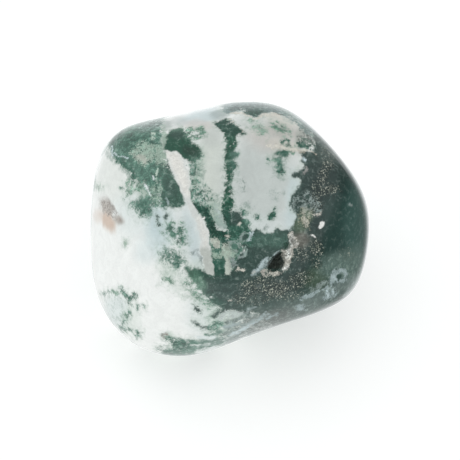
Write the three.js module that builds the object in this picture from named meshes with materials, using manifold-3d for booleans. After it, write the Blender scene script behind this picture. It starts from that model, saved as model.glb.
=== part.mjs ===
// Tree agate tumbled stone, one solid piece of rock, rounded and polished in a tumbler.
// Millimetres, +Z up. It lies on its flattest side, with its length along X.
// The origin is on the surface that it rests on, under the middle of its box.
//
// A direction from the heart of the stone is a heading, counted in degrees from +X towards +Y,
// and a pitch, in degrees above the level of the heart.

import * as THREE from "three";
import { mergeVertices } from "three/addons/utils/BufferGeometryUtils.js";
import Module from "manifold-3d";

// The worn faces that the stone was tumbled to: how far each one is from the heart.
const wornFaces = [
  { name: "right end", heading: 2, pitch: 1, distance: 20.2 },
  { name: "upper right flank", heading: 30, pitch: 29, distance: 17.9 },
  { name: "crown", heading: 78, pitch: 39, distance: 19.2 },
  { name: "upper left flank", heading: 107, pitch: 39, distance: 17.9 },
  { name: "upper left corner", heading: 151, pitch: 26, distance: 22.4 },
  { name: "left end", heading: 183, pitch: 8, distance: 19.4 },
  { name: "lower left corner", heading: 199, pitch: -15, distance: 23.2 },
  { name: "lower left flank", heading: 223, pitch: -30, distance: 21.5 },
  { name: "keel", heading: 256, pitch: -39, distance: 20.1 },
  { name: "lower right flank", heading: 297, pitch: -37, distance: 15.7 },
  { name: "lower right corner", heading: 348, pitch: -10, distance: 20.4 },
  { name: "broad front", heading: 282, pitch: 60, distance: 14.8 },
  { name: "front left", heading: 218, pitch: 28, distance: 17.3 },
  { name: "front right", heading: 318, pitch: 20, distance: 17.8 },
  { name: "front foot", heading: 274, pitch: 2, distance: 16.6 },
  { name: "top", heading: 115, pitch: 81, distance: 17.0 },
  { name: "base", heading: 0, pitch: -90, distance: 13.4 },
  { name: "back", heading: 90, pitch: 0, distance: 16.6 },
  { name: "back foot", heading: 83, pitch: -41, distance: 15.5 },
  { name: "back right", heading: 33, pitch: -33, distance: 17.0 },
  { name: "back left", heading: 147, pitch: -33, distance: 18.0 },
];

// A higher power leaves flatter faces with tighter rounds between them.
const roundingPower = 10;

// Broad shallow dips that the tumbling left, each as wide as its spread in degrees to either side.
const dips = [
  { name: "waist below", heading: 299, pitch: -36, spread: 23, depth: 1.8 },
  { name: "waist above", heading: 124, pitch: 35, spread: 13, depth: 1.1 },
  { name: "flattened flank", heading: 38, pitch: 27, spread: 18, depth: 0.5 },
];

// The base is worn to a true flat, this far above where its round would reach.
const baseWear = 0.26;

// Hollows in the polished skin. reach is half of the length, width and depth of each one, turn swings its
// length from level towards upright, and lift is how far its middle is above the skin.
const hollows = [
  { name: "pocket", heading: 294.5, pitch: 32, turn: 31, reach: [1.6, 0.85, 1.7], lift: -0.4 },
  { name: "pocket under lip", heading: 293.5, pitch: 33.5, turn: 31, reach: [1.3, 0.7, 0.9], lift: -1.3 },
  { name: "pocket slope", heading: 301, pitch: 33, turn: 55, reach: [1.6, 0.95, 0.6], lift: 0 },
  { name: "pocket shelf", heading: 292, pitch: 28, turn: -8, reach: [1.4, 0.6, 0.35], lift: 0 },
  { name: "cleft", heading: 302.5, pitch: 37, turn: 30, reach: [1.2, 0.35, 0.6], lift: 0 },
  { name: "cleft end", heading: 307, pitch: 37.5, turn: 62, reach: [0.5, 0.3, 0.55], lift: 0 },
  { name: "right pit", heading: 325, pitch: 36.5, turn: 35, reach: [0.5, 0.35, 0.35], lift: 0.05 },
  { name: "right nick", heading: 318, pitch: 34.5, turn: -60, reach: [0.45, 0.2, 0.3], lift: 0.05 },
  { name: "notch", heading: 336, pitch: 56, turn: -10, reach: [0.7, 0.25, 0.3], lift: 0.05 },
  { name: "keel pit", heading: 242, pitch: -4.5, turn: 20, reach: [0.4, 0.3, 0.35], lift: 0.05 },
  { name: "front pit", heading: 248, pitch: 53, turn: 0, reach: [0.35, 0.25, 0.3], lift: 0.05 },
  { name: "left scar", heading: 194.5, pitch: 27, turn: 12, reach: [2.4, 0.55, 0.25], lift: 0.05 },
  { name: "left scar deep end", heading: 188.5, pitch: 25, turn: 60, reach: [0.9, 0.6, 0.35], lift: 0.05 },
  { name: "back pit", heading: 72, pitch: -8, turn: 35, reach: [0.9, 0.5, 0.5], lift: 0.05 },
  { name: "back nick", heading: 118, pitch: -20, turn: 80, reach: [0.7, 0.3, 0.35], lift: 0.05 },
];

// The walls of the hollows are rough: lumps up to this share of a hollow's smallest reach.
const lumpShare = 0.2;
const lumpWaves = 5;

// How fine the triangles are.
const skinEdge = 1.45;
const hollowEdge = 0.45;
const weldDistance = 0.0001;

const wasm = await Module();
wasm.setup();

function directionOf(heading, pitch) {
  const level = Math.cos(THREE.MathUtils.degToRad(pitch));
  return new THREE.Vector3(
    level * Math.cos(THREE.MathUtils.degToRad(heading)),
    level * Math.sin(THREE.MathUtils.degToRad(heading)),
    Math.sin(THREE.MathUtils.degToRad(pitch)),
  );
}

const faceDirections = wornFaces.map((face) => directionOf(face.heading, face.pitch));
const dipDirections = dips.map((dip) => directionOf(dip.heading, dip.pitch));

// How far the skin is from the heart in a direction: the flat faces blended with rounds, less the dips.
function skinDistance(direction) {
  let blend = 0;
  wornFaces.forEach((face, i) => {
    const facing = Math.max(direction.dot(faceDirections[i]), 0);
    blend += (facing / face.distance) ** roundingPower;
  });
  let distance = blend ** (-1 / roundingPower);
  dips.forEach((dip, i) => {
    const away = THREE.MathUtils.radToDeg(direction.angleTo(dipDirections[i]));
    distance -= dip.depth * Math.exp(-(away * away) / (2 * dip.spread * dip.spread));
  });
  return distance;
}

function skinPoint(direction) {
  return direction.clone().multiplyScalar(skinDistance(direction));
}

// The way out of the stone at a direction, square to the skin.
function skinNormal(direction) {
  const nudge = 0.01;
  const sideways = new THREE.Vector3(0, 0, 1).cross(direction).normalize();
  const upwards = direction.clone().cross(sideways);
  const beside = skinPoint(direction.clone().addScaledVector(sideways, nudge).normalize());
  const above = skinPoint(direction.clone().addScaledVector(upwards, nudge).normalize());
  const here = skinPoint(direction);
  return beside.sub(here).cross(above.sub(here)).normalize();
}

// A closed mesh whose triangles share a point wherever they meet.
function welded(geometry) {
  geometry.deleteAttribute("normal");
  geometry.deleteAttribute("uv");
  return mergeVertices(geometry, weldDistance);
}

// A ball of one millimetre radius, cut finely enough for triangles of this edge once it has grown to a size.
function ballFor(size, edge) {
  return welded(new THREE.IcosahedronGeometry(1, Math.round(size / edge)));
}

function movePoints(geometry, place) {
  const position = geometry.getAttribute("position");
  for (let i = 0; i < position.count; i += 1) {
    const point = place(new THREE.Vector3().fromBufferAttribute(position, i));
    position.setXYZ(i, point.x, point.y, point.z);
  }
  return geometry;
}

function toSolid(geometry) {
  const vertProperties = new Float32Array(geometry.getAttribute("position").array);
  const triVerts = new Uint32Array(geometry.getIndex().array);
  return new wasm.Manifold(new wasm.Mesh({ numProp: 3, vertProperties, triVerts }));
}

function toGeometry(solid) {
  const mesh = solid.getMesh();
  const geometry = new THREE.BufferGeometry();
  geometry.setAttribute("position", new THREE.BufferAttribute(mesh.vertProperties, mesh.numProp));
  geometry.setIndex(new THREE.BufferAttribute(mesh.triVerts, 1));
  return geometry;
}

function tumbledBody() {
  const furthest = Math.max(...wornFaces.map((face) => face.distance));
  return toSolid(movePoints(ballFor(furthest, skinEdge), (point) => skinPoint(point.normalize())));
}

// What the flat base takes off: a block that is wider than the stone, with its top at the flat.
function belowBase() {
  const base = wornFaces.find((face) => face.name === "base");
  const depth = base.distance;
  const block = new THREE.BoxGeometry(4 * depth, 4 * depth, depth);
  block.translate(0, 0, baseWear - base.distance - depth / 2);
  return toSolid(welded(block));
}

// One rough hollow, set square to the skin. Its number in the list makes its lumps its own.
function hollowSolid(hollow, number) {
  const direction = directionOf(hollow.heading, hollow.pitch);
  const outwards = skinNormal(direction);
  const level = new THREE.Vector3(0, 0, 1).cross(outwards).normalize();
  const upright = outwards.clone().cross(level);
  const turning = new THREE.Matrix4().makeRotationAxis(outwards, THREE.MathUtils.degToRad(hollow.turn));
  const placing = new THREE.Matrix4().makeBasis(level, upright, outwards).premultiply(turning);
  placing.setPosition(skinPoint(direction).addScaledVector(outwards, hollow.lift));
  const reach = new THREE.Vector3(...hollow.reach);
  const lumpHeight = lumpShare * Math.min(...hollow.reach);
  const lumpy = movePoints(ballFor(Math.max(...hollow.reach), hollowEdge), (point) => {
    const acrossLump = Math.sin(lumpWaves * point.x + number) * Math.sin(lumpWaves * point.y + 2 * number);
    const lump = acrossLump * Math.sin(lumpWaves * point.z + 3 * number);
    return point.clone().multiply(reach).addScaledVector(point, lumpHeight * lump);
  });
  return toSolid(lumpy.applyMatrix4(placing));
}

function stoneGeometry() {
  let solid = tumbledBody().subtract(belowBase());
  hollows.forEach((hollow, number) => {
    solid = solid.subtract(hollowSolid(hollow, number));
  });
  const geometry = toGeometry(solid);
  geometry.computeBoundingBox();
  const middle = geometry.boundingBox.getCenter(new THREE.Vector3());
  return geometry.translate(-middle.x, -middle.y, -geometry.boundingBox.min.z);
}

const polishedAgate = new THREE.MeshStandardMaterial({ color: 0x8fa39b, roughness: 0.15, metalness: 0 });

const stone = new THREE.Mesh(stoneGeometry(), polishedAgate);
stone.name = "stone";

const treeAgate = new THREE.Group();
treeAgate.add(stone);

export default treeAgate;
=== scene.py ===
import math
import time

import bpy
import numpy as np
from mathutils import Matrix, Vector, noise


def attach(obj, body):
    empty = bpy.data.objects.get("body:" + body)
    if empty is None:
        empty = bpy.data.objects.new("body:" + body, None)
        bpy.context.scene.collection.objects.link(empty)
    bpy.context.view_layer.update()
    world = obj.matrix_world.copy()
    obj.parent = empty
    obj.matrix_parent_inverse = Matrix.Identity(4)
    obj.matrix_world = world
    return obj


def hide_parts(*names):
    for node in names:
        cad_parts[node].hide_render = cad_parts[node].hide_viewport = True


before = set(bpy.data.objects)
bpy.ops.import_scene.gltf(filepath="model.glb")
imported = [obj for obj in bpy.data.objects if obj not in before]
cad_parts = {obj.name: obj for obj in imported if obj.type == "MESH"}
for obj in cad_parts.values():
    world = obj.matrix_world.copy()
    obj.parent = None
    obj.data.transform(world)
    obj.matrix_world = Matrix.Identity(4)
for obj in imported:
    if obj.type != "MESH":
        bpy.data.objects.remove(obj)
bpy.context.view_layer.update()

started = time.time()

# Tree agate tumbled stone: one worn and polished body, with a small rough pocket and a few pits in it.
# Metres, +Z up, the stone's length along X. Its markings were traced from the photograph, as outlines
# and strokes in its pixels, and are laid on the stone along the photograph's own line of sight. On the sides
# that the photograph doesn't show, they run on as moss of the same kind.

mm = 0.001

photoView = {
    "width": 460,
    "heartPixel": (231, 229),       # where the heart of the stone is seen
    "heart": (0.000285, 0.000204, 0.01314),
    "elevation": 50,                # degrees that the camera looks down
    "distance": 0.1747,
    "lens": 100,
    "sensor": 36,
}


def report(words):
    print(f"{time.time() - started:6.1f} s  {words}")


# Nodes

def newNode(tree, kind, **settings):
    made = tree.nodes.new(kind)
    for name, value in settings.items():
        setattr(made, name, value)
    return made


def feed(tree, socket, value):
    if isinstance(value, bpy.types.NodeSocket):
        tree.links.new(value, socket)
    else:
        socket.default_value = value


def calc(tree, operation, *values):
    made = newNode(tree, "ShaderNodeMath", operation=operation)
    for socket, value in zip(made.inputs, values):
        feed(tree, socket, value)
    return made.outputs[0]


def times(tree, *values):
    product = values[0]
    for value in values[1:]:
        product = calc(tree, "MULTIPLY", product, value)
    return product


def rise(tree, value, low, high, start=0.0, end=1.0):
    made = newNode(tree, "ShaderNodeMapRange", interpolation_type="SMOOTHSTEP")
    for socket, given in zip(made.inputs, (value, low, high, start, end)):
        feed(tree, socket, given)
    return made.outputs[0]


# Camera, floor and light

heart = Vector(photoView["heart"])
tip = math.radians(photoView["elevation"])
sightRight = Vector((1, 0, 0))
sightUp = Vector((0, math.sin(tip), math.cos(tip)))
towardsCamera = Vector((0, -math.cos(tip), math.sin(tip)))
cameraPlace = heart + towardsCamera * photoView["distance"]
pixelsPerSlope = photoView["lens"] / photoView["sensor"] * photoView["width"]
# metres on the stone that one pixel of the photograph covers
pixelSize = photoView["distance"] / pixelsPerSlope


def placeCamera():
    middle = photoView["width"] / 2
    offRight = (middle - photoView["heartPixel"][0]) * pixelSize
    offUp = (photoView["heartPixel"][1] - middle) * pixelSize
    data = bpy.data.cameras.new("camera")
    data.lens = photoView["lens"]
    data.sensor_width = photoView["sensor"]
    data.clip_start = 0.01
    camera = bpy.data.objects.new("camera", data)
    camera.location = cameraPlace + sightRight * offRight + sightUp * offUp
    camera.rotation_euler = towardsCamera.to_track_quat("Z", "Y").to_euler()
    bpy.context.scene.collection.objects.link(camera)
    bpy.context.scene.camera = camera


studio = {
    "floorSize": 3.0,
    "floorColour": (0.50, 0.51, 0.50),
    "floorGlow": 0.60,              # the table is lit from beneath a little, as a product table is
    "floorRoughness": 0.9,
    "tentLight": 1.12,
    "tentColour": (0.975, 0.99, 1.0),
    "brightSide": (-0.35, -0.6, 0.6),    # the side of the tent that most light comes from
    "brightEdge": (-0.9, 0.9),      # cosines between which it goes from dim to bright
    "dimShare": 0.35,               # how much dimmer the tent is across from there
    "openingShare": 0.55,           # how much dimmer it is around the camera
    "openingEdge": (0.75, 0.98),    # cosines between which the dim opening starts and is complete
    "tableInPolish": 1.2,           # how much brighter than the tent the polish sees what is below the stone
    "tableEdge": (-0.3, 0.1),       # heights between which that goes over into the tent
    "cardSide": (0.95, 0.05, -0.31),     # a dark card stands at the right of the stone
    "cardShare": 0.75,
    "cardEdge": (0.57, 0.86),
    "backSide": (0.27, 0.93, -0.26),     # and a white one behind it
    "backShare": 0.5,
    "backEdge": (0.50, 0.95),
}


def lightStudio():
    bpy.ops.mesh.primitive_plane_add(size=studio["floorSize"])
    floor = bpy.context.object
    floor.name = "floor"
    paper = bpy.data.materials.new("floor_paper")
    paper.use_nodes = True
    shader = paper.node_tree.nodes["Principled BSDF"]
    shader.inputs["Base Color"].default_value = (*studio["floorColour"], 1)
    shader.inputs["Roughness"].default_value = studio["floorRoughness"]
    shader.inputs["Emission Color"].default_value = (1, 1, 1, 1)
    shader.inputs["Emission Strength"].default_value = studio["floorGlow"]
    floor.data.materials.append(paper)
    floor.visible_glossy = False    # the polish sees the lower side of the tent in place of the table
    world = bpy.data.worlds.new("studio")
    world.use_nodes = True
    tree = world.node_tree
    direction = newNode(tree, "ShaderNodeTexCoord").outputs["Generated"]

    def facing(side):
        made = newNode(tree, "ShaderNodeVectorMath", operation="DOT_PRODUCT")
        feed(tree, made.inputs[0], direction)
        made.inputs[1].default_value = Vector(side).normalized()
        return made.outputs["Value"]

    opening = rise(tree, facing(towardsCamera), *studio["openingEdge"], 1.0, 1 - studio["openingShare"])
    sides = rise(tree, facing(studio["brightSide"]), *studio["brightEdge"], 1 - studio["dimShare"], 1.0)
    below = rise(tree, facing((0, 0, 1)), *studio["tableEdge"], studio["tableInPolish"], 1.0)
    background = tree.nodes["Background"]
    background.inputs["Color"].default_value = (*studio["tentColour"], 1)
    card = rise(tree, facing(studio["cardSide"]), *studio["cardEdge"], 1.0, 1 - studio["cardShare"])
    back = rise(tree, facing(studio["backSide"]), *studio["backEdge"], 1.0, 1 + studio["backShare"])
    strength = times(tree, opening, sides, studio["tentLight"], below, card, back)
    feed(tree, background.inputs["Strength"], strength)
    bpy.context.scene.world = world
    bpy.context.scene.view_settings.view_transform = "Standard"


placeCamera()
lightStudio()
report("camera, floor and light")


# Body: a ball drawn onto the solid, smoothed, and cut finer where the photograph looks at it

bodyShape = {
    "ballRadius": 30 * mm,
    "cuts": 72,
    "weld": 0.001 * mm,             # points of the solid that are closer than this become one
    "smoothRounds": 40,
    "smoothFactor": 0.5,            # for every smoothing
    "drawnOut": 0.085 * mm,         # the smoothing draws the skin in by about this much
    "fineFacing": 0.06,             # faces turned to the camera by more than this are cut finer
    "fineRoundness": 0.8,
    "fineRounds": 4,
    "mendReach": 1.35,              # how far around each hollow the skin is mended before it is cut again
    "mendHeight": 0.5,              # how much a point's height over the hollow counts in that
    "mendRounds": 400,
}

# Hollows, in millimetres: half of the length, width and depth, and how far the middle is above the skin.
# turn swings the length from level towards upright.
hollows = {
    "pocket": {"heading": 294.5, "pitch": 32, "turn": 31, "reach": (1.6, 0.85, 1.7), "lift": -0.4},
    "pocket under lip": {"heading": 293.5, "pitch": 33.5, "turn": 31, "reach": (1.3, 0.7, 0.9), "lift": -1.3},
    "pocket slope": {"heading": 301, "pitch": 33, "turn": 55, "reach": (1.6, 0.95, 0.6), "lift": 0},
    "pocket shelf": {"heading": 292, "pitch": 28, "turn": -8, "reach": (1.4, 0.6, 0.35), "lift": 0},
    "cleft": {"heading": 302.5, "pitch": 37, "turn": 30, "reach": (1.2, 0.35, 0.6), "lift": 0},
    "cleft end": {"heading": 307, "pitch": 37.5, "turn": 62, "reach": (0.5, 0.3, 0.55), "lift": 0},
    "right pit": {"heading": 325, "pitch": 36.5, "turn": 35, "reach": (0.5, 0.35, 0.35), "lift": 0.05},
    "right nick": {"heading": 318, "pitch": 34.5, "turn": -60, "reach": (0.45, 0.2, 0.3), "lift": 0.05},
    "notch": {"heading": 336, "pitch": 56, "turn": -10, "reach": (0.7, 0.25, 0.3), "lift": 0.05},
    "keel pit": {"heading": 242, "pitch": -4.5, "turn": 20, "reach": (0.4, 0.3, 0.35), "lift": 0.05},
    "front pit": {"heading": 248, "pitch": 53, "turn": 0, "reach": (0.35, 0.25, 0.3), "lift": 0.05},
    "left scar": {"heading": 194.5, "pitch": 27, "turn": 12, "reach": (2.4, 0.55, 0.25), "lift": 0.05},
    "left scar deep end": {
        "heading": 188.5, "pitch": 25, "turn": 60, "reach": (0.9, 0.6, 0.35), "lift": 0.05,
    },
    "back pit": {"heading": 72, "pitch": -8, "turn": 35, "reach": (0.9, 0.5, 0.5), "lift": 0.05},
    "back nick": {"heading": 118, "pitch": -20, "turn": 80, "reach": (0.7, 0.3, 0.35), "lift": 0.05},
}


def onlySelect(piece):
    bpy.ops.object.select_all(action="DESELECT")
    piece.select_set(True)
    bpy.context.view_layer.objects.active = piece


def applyModifier(piece, kind, **settings):
    onlySelect(piece)
    modifier = piece.modifiers.new(kind.lower(), kind)
    for name, value in settings.items():
        setattr(modifier, name, value)
    bpy.ops.object.modifier_apply(modifier=modifier.name)


def pointsOf(piece):
    places = np.empty(len(piece.data.vertices) * 3, np.float32)
    piece.data.vertices.foreach_get("co", places)
    return places.reshape(-1, 3).astype(float)


def normalsOf(piece):
    normals = np.empty(len(piece.data.vertices) * 3, np.float32)
    piece.data.vertices.foreach_get("normal", normals)
    return normals.reshape(-1, 3).astype(float)


def directionOf(heading, pitch):
    level = math.cos(math.radians(pitch))
    across = math.radians(heading)
    return Vector((level * math.cos(across), level * math.sin(across), math.sin(math.radians(pitch))))


def editPoints(piece, chosen, operator, **settings):
    # runs an edit mode operator on the chosen points only
    piece.data.polygons.foreach_set("select", np.zeros(len(piece.data.polygons), bool))
    piece.data.edges.foreach_set("select", np.zeros(len(piece.data.edges), bool))
    piece.data.vertices.foreach_set("select", chosen)
    onlySelect(piece)
    bpy.ops.object.mode_set(mode="EDIT")
    operator(**settings)
    bpy.ops.object.mode_set(mode="OBJECT")


# The ring of skin around a hollow, as shares of the hollow's reach and millimetres more
hollowRing = {"inner": (1.5, 0.3), "middle": (1.7, 0.6), "outer": (1.9, 0.9)}
skinRadius = 16    # about the radius of the stone's rounds, in millimetres


def ringDistance(part, reach):
    share, more = hollowRing[part]
    return share * reach + more


def hollowPlace(body, hollow):
    # the ring of skin around the hollow gives its middle and its way out, whatever is cut there already
    direction = np.array(directionOf(hollow["heading"], hollow["pitch"]))
    points = pointsOf(body) - np.array(heart)
    distance = np.linalg.norm(points, axis=1)
    away = np.arccos(np.clip(points @ direction / distance, -1, 1)) * distance / mm
    reach = max(hollow["reach"][:2])
    onRing = (away > ringDistance("inner", reach)) & (away < ringDistance("outer", reach))
    outwards = Vector(normalsOf(body)[onRing].mean(0)).normalized()
    sag = ringDistance("middle", reach) ** 2 / (2 * skinRadius) * mm
    middle = heart + Vector(direction) * (distance[onRing].mean() + sag)
    level = Vector((0, 0, 1)).cross(outwards).normalized()
    upright = outwards.cross(level)
    turned = Matrix.Rotation(math.radians(hollow["turn"]), 3, outwards)
    axes = Matrix((turned @ level, turned @ upright, outwards)).transposed()
    middle = middle + outwards * hollow["lift"] * mm
    return Matrix.Translation(middle) @ axes.to_4x4()


def drawBody():
    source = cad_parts["stone"]
    onlySelect(source)
    bpy.ops.object.duplicate()
    pattern = bpy.context.object
    bpy.ops.object.mode_set(mode="EDIT")
    bpy.ops.mesh.select_all(action="SELECT")
    bpy.ops.mesh.remove_doubles(threshold=bodyShape["weld"])
    bpy.ops.object.mode_set(mode="OBJECT")
    bpy.ops.object.select_all(action="DESELECT")
    bpy.ops.mesh.primitive_cube_add(size=2 * bodyShape["ballRadius"], location=heart)
    body = bpy.context.object
    body.name = "agate_stone"
    bpy.ops.object.transform_apply(location=True, rotation=False, scale=False)
    bpy.ops.object.mode_set(mode="EDIT")
    bpy.ops.mesh.select_all(action="SELECT")
    bpy.ops.mesh.subdivide(number_cuts=bodyShape["cuts"])
    bpy.ops.transform.tosphere(value=1)
    bpy.ops.object.mode_set(mode="OBJECT")
    applyModifier(body, "SHRINKWRAP", target=pattern, offset=bodyShape["drawnOut"], wrap_mode="ABOVE_SURFACE")
    bpy.data.objects.remove(pattern)
    report("ball drawn onto the solid")
    return body


def mendSkin(body):
    # the walls of the solid's hollows are drawn level with the skin around them
    points = pointsOf(body)
    inside = np.zeros(len(points), bool)
    for hollow in hollows.values():
        place = np.array(hollowPlace(body, hollow).inverted())
        local = (points @ place[:3, :3].T + place[:3, 3]) / mm / np.array(hollow["reach"])
        local[:, 2] *= bodyShape["mendHeight"]
        inside |= np.linalg.norm(local, axis=1) < bodyShape["mendReach"]
    editPoints(
        body, inside, bpy.ops.mesh.vertices_smooth,
        factor=bodyShape["smoothFactor"], repeat=bodyShape["mendRounds"],
    )


def towardsEye(points, normals):
    sight = np.array(cameraPlace) - points
    sight /= np.linalg.norm(sight, axis=1)[:, None]
    return (normals * sight).sum(1)


def smoothSkin(body, rounds):
    applyModifier(body, "SMOOTH", factor=bodyShape["smoothFactor"], iterations=rounds)


def refineFront(body):
    facing = towardsEye(pointsOf(body), normalsOf(body))
    editPoints(
        body, facing > bodyShape["fineFacing"], bpy.ops.mesh.subdivide,
        number_cuts=1, smoothness=bodyShape["fineRoundness"],
    )
    smoothSkin(body, bodyShape["fineRounds"])


def levelBase(body):
    # the flat that the stone rests on
    below = pointsOf(body)[:, 2] < 0
    editPoints(body, below, bpy.ops.transform.resize, value=(1, 1, 0), center_override=(0, 0, 0))


stoneBody = drawBody()
mendSkin(stoneBody)
smoothSkin(stoneBody, bodyShape["smoothRounds"])
refineFront(stoneBody)
levelBase(stoneBody)
report(f"body of {len(stoneBody.data.polygons)} faces")


# Hollows: rough lumps cut out of the body

hollowShape = {
    "ballCuts": 5,
    "smallBallCuts": 4,
    "smallReach": 1.0,              # hollows under this length take the coarser ball
    "lumpSize": 0.55 * mm,
    "lumpDetail": 3,
    "lumpHeight": 0.22,             # share of the smallest reach
}


def cutHollows(body):
    cutters = []
    lumps = bpy.data.textures.new("lumps", "CLOUDS")
    lumps.noise_scale = hollowShape["lumpSize"]
    lumps.noise_depth = hollowShape["lumpDetail"]
    for name, hollow in hollows.items():
        place = hollowPlace(body, hollow)
        fine = max(hollow["reach"]) >= hollowShape["smallReach"]
        bpy.ops.mesh.primitive_ico_sphere_add(
            subdivisions=hollowShape["ballCuts" if fine else "smallBallCuts"], radius=1
        )
        cutter = bpy.context.object
        cutter.name = "cutter " + name
        cutter.data.transform(place @ Matrix.Diagonal((*[r * mm for r in hollow["reach"]], 1)))
        applyModifier(
            cutter, "DISPLACE", texture=lumps, texture_coords="LOCAL", mid_level=0.5,
            strength=2 * hollowShape["lumpHeight"] * min(hollow["reach"]) * mm,
        )
        cutters.append(cutter)
    cutterGroup = bpy.data.collections.new("cutters")
    for cutter in cutters:
        cutterGroup.objects.link(cutter)
    bpy.context.scene.collection.children.link(cutterGroup)
    applyModifier(
        body, "BOOLEAN", operation="DIFFERENCE", operand_type="COLLECTION",
        collection=cutterGroup, solver="EXACT",
    )
    for cutter in cutters:
        bpy.data.objects.remove(cutter)
    bpy.data.collections.remove(cutterGroup)


cutHollows(stoneBody)
report(f"hollows cut, {len(stoneBody.data.polygons)} faces")


# Crust: the rough grains in and around the pocket, in soft ovals of the photograph's pixels
# (middle, half width, half height, turn in degrees, strength)

crust = {
    "ovals": [
        (288, 256, 7, 14, 14, 1.0),     # the wall at the pocket's right
        (285, 267, 6, 5, 0, 1.0),
        (274, 261, 9, 8, 0, 1.0),       # the pocket itself
        (272, 273, 12, 4.5, -3, 0.8),   # the shelf in front of it
        (291, 240, 4.5, 8, -30, 0.7),   # the tail that runs up from the wall
        (285, 245, 4.5, 4.5, 0, 0.8),
        (109, 209, 13, 6, 50, 0.35),    # the scar at the left
    ],
    "from": 0.02,                   # skin with more of the crust than this is cut finer
    "cuts": 1,
    "grainSize": 0.34 * mm,
    "grainDetail": 2,
    "grainHeight": 0.20 * mm,
}

ovalEdge = (1.35, 0.45)    # where a soft oval has gone and where it is full, as shares of its size


def smoothStep(value, low, high):
    t = np.clip((value - low) / (high - low), 0, 1)
    return t * t * (3 - 2 * t)


def photoPlaces(points):
    # where the photograph shows each point
    local = points - np.array(heart)
    depth = photoView["distance"] - local @ np.array(towardsCamera)
    x = photoView["heartPixel"][0] + local @ np.array(sightRight) / depth * pixelsPerSlope
    y = photoView["heartPixel"][1] - local @ np.array(sightUp) / depth * pixelsPerSlope
    return x, y


def ovalDistance(x, y, middle, size, turn):
    # 1 on the oval's edge, 0 in its middle
    angle = math.radians(turn)
    right = x - middle[0]
    down = y - middle[1]
    along = right * math.cos(angle) + down * math.sin(angle)
    across = down * math.cos(angle) - right * math.sin(angle)
    return np.hypot(along / size[0], across / size[1])


def ovalShare(oval, x, y):
    # how far a soft oval covers each point
    cx, cy, halfWidth, halfHeight, turn, strength = oval
    return strength * smoothStep(ovalDistance(x, y, (cx, cy), (halfWidth, halfHeight), turn), *ovalEdge)


def crustShare(body):
    points = pointsOf(body)
    x, y = photoPlaces(points)
    share = np.zeros(len(points))
    for oval in crust["ovals"]:
        share = np.maximum(share, ovalShare(oval, x, y))
    nearSide = (points - np.array(heart)) @ np.array(towardsCamera) > 0
    return share * nearSide


def roughenCrust(body):
    # the crust is cut finer, and then thrown up into grains
    rough = crustShare(body) > crust["from"]
    editPoints(body, rough, bpy.ops.mesh.subdivide, number_cuts=crust["cuts"])
    share = crustShare(body)
    group = body.vertex_groups.new(name="crust")
    for i in np.nonzero(share)[0]:
        group.add([int(i)], float(share[i]), "REPLACE")
    grains = bpy.data.textures.new("grains", "CLOUDS")
    grains.noise_scale = crust["grainSize"]
    grains.noise_depth = crust["grainDetail"]
    applyModifier(
        body, "DISPLACE", texture=grains, texture_coords="LOCAL", mid_level=0.5,
        strength=crust["grainHeight"], vertex_group="crust",
    )
    body.vertex_groups.clear()


roughenCrust(stoneBody)
report("crust thrown up")


# Colours, as seen in daylight from 0 to 255, though some of them stand in for painted sheen, reflection and
# shade. The polish adds a little white light to each of them.

palette = {
    "milk": (243, 245, 242),
    "shadedMilk": (226, 230, 225),
    "coolMilk": (219, 228, 226),
    "greyQuartz": (205, 212, 208),
    "leftQuartz": (215, 221, 213),
    "deepQuartz": (190, 196, 192),
    "rosyQuartz": (206, 202, 196),
    "blueHaze": (206, 221, 221),
    "greenHaze": (186, 204, 190),
    "fernHaze": (157, 178, 163),
    "edgeBlue": (196, 212, 214),
    "lensGrey": (184, 194, 190),
    "deepGreen": (60, 99, 85),
    "bottleGreen": (42, 86, 69),
    "flankGreen": (74, 104, 92),
    "darkGreen": (44, 80, 68),
    "inkGreen": (38, 66, 56),
    "tealGreen": (90, 126, 112),
    "fernGreen": (108, 142, 124),
    "paleFern": (140, 166, 150),
    "charcoal": (50, 66, 63),
    "slate": (66, 86, 80),
    "nightGreen": (56, 78, 73),
    "nightTeal": (71, 99, 93),
    "lowTeal": (106, 127, 119),
    "greySlate": (96, 112, 106),
    "mist": (140, 154, 150),
    "olive": (92, 110, 92),
    "mauve": (115, 119, 115),
    "mauveMist": (158, 158, 154),
    "mauveGrey": (160, 157, 150),
    # the next two colours are those of the painted reflection of a long strip light; the first is also the
    # colour of pale crusts and chips
    "vein": (219, 223, 219),
    "reflectionWhite": (234, 233, 226),
    "creamGreen": (188, 194, 182),
    "wedgeGrey": (156, 176, 168),
    # moss colour of the top rim, lightened by painted sheen
    "rimMossAndSheen": (112, 134, 133),
    # the next two colours are those of the lower parts of the painted strip reflections
    "reflectionLow": (194, 199, 192),
    "reflectionGreen": (190, 199, 187),
    "chip": (236, 237, 232),
    "brightChip": (252, 252, 248),
    "cream": (212, 209, 198),
    "tan": (172, 166, 150),
    "grain": (214, 217, 200),
    "dullGrain": (132, 140, 126),
    "oliveCream": (156, 156, 136),
    "brownMauve": (112, 111, 103),
    "blueGrey": (160, 176, 176),
    "crust": (182, 180, 170),
    # dark painted shade in the depths of the pocket and the cleft
    "hole": (72, 78, 72),
    "rust": (206, 184, 166),
    "pitted": (176, 170, 162),
    "pitDark": (134, 126, 120),
}

polishLight = 0.02    # what the polish adds, which is taken off again
leastLight = 0.004


def pigment(name):
    # the standard way from a screen's levels to amounts of light
    shares = []
    for level in palette[name]:
        share = level / 255
        linear = share / 12.92 if share <= 0.04045 else ((share + 0.055) / 1.055) ** 2.4
        shares.append(max(linear - polishLight, leastLight))
    return np.array(shares)


def pigmentNode(name):
    return (*pigment(name), 1)


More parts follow.
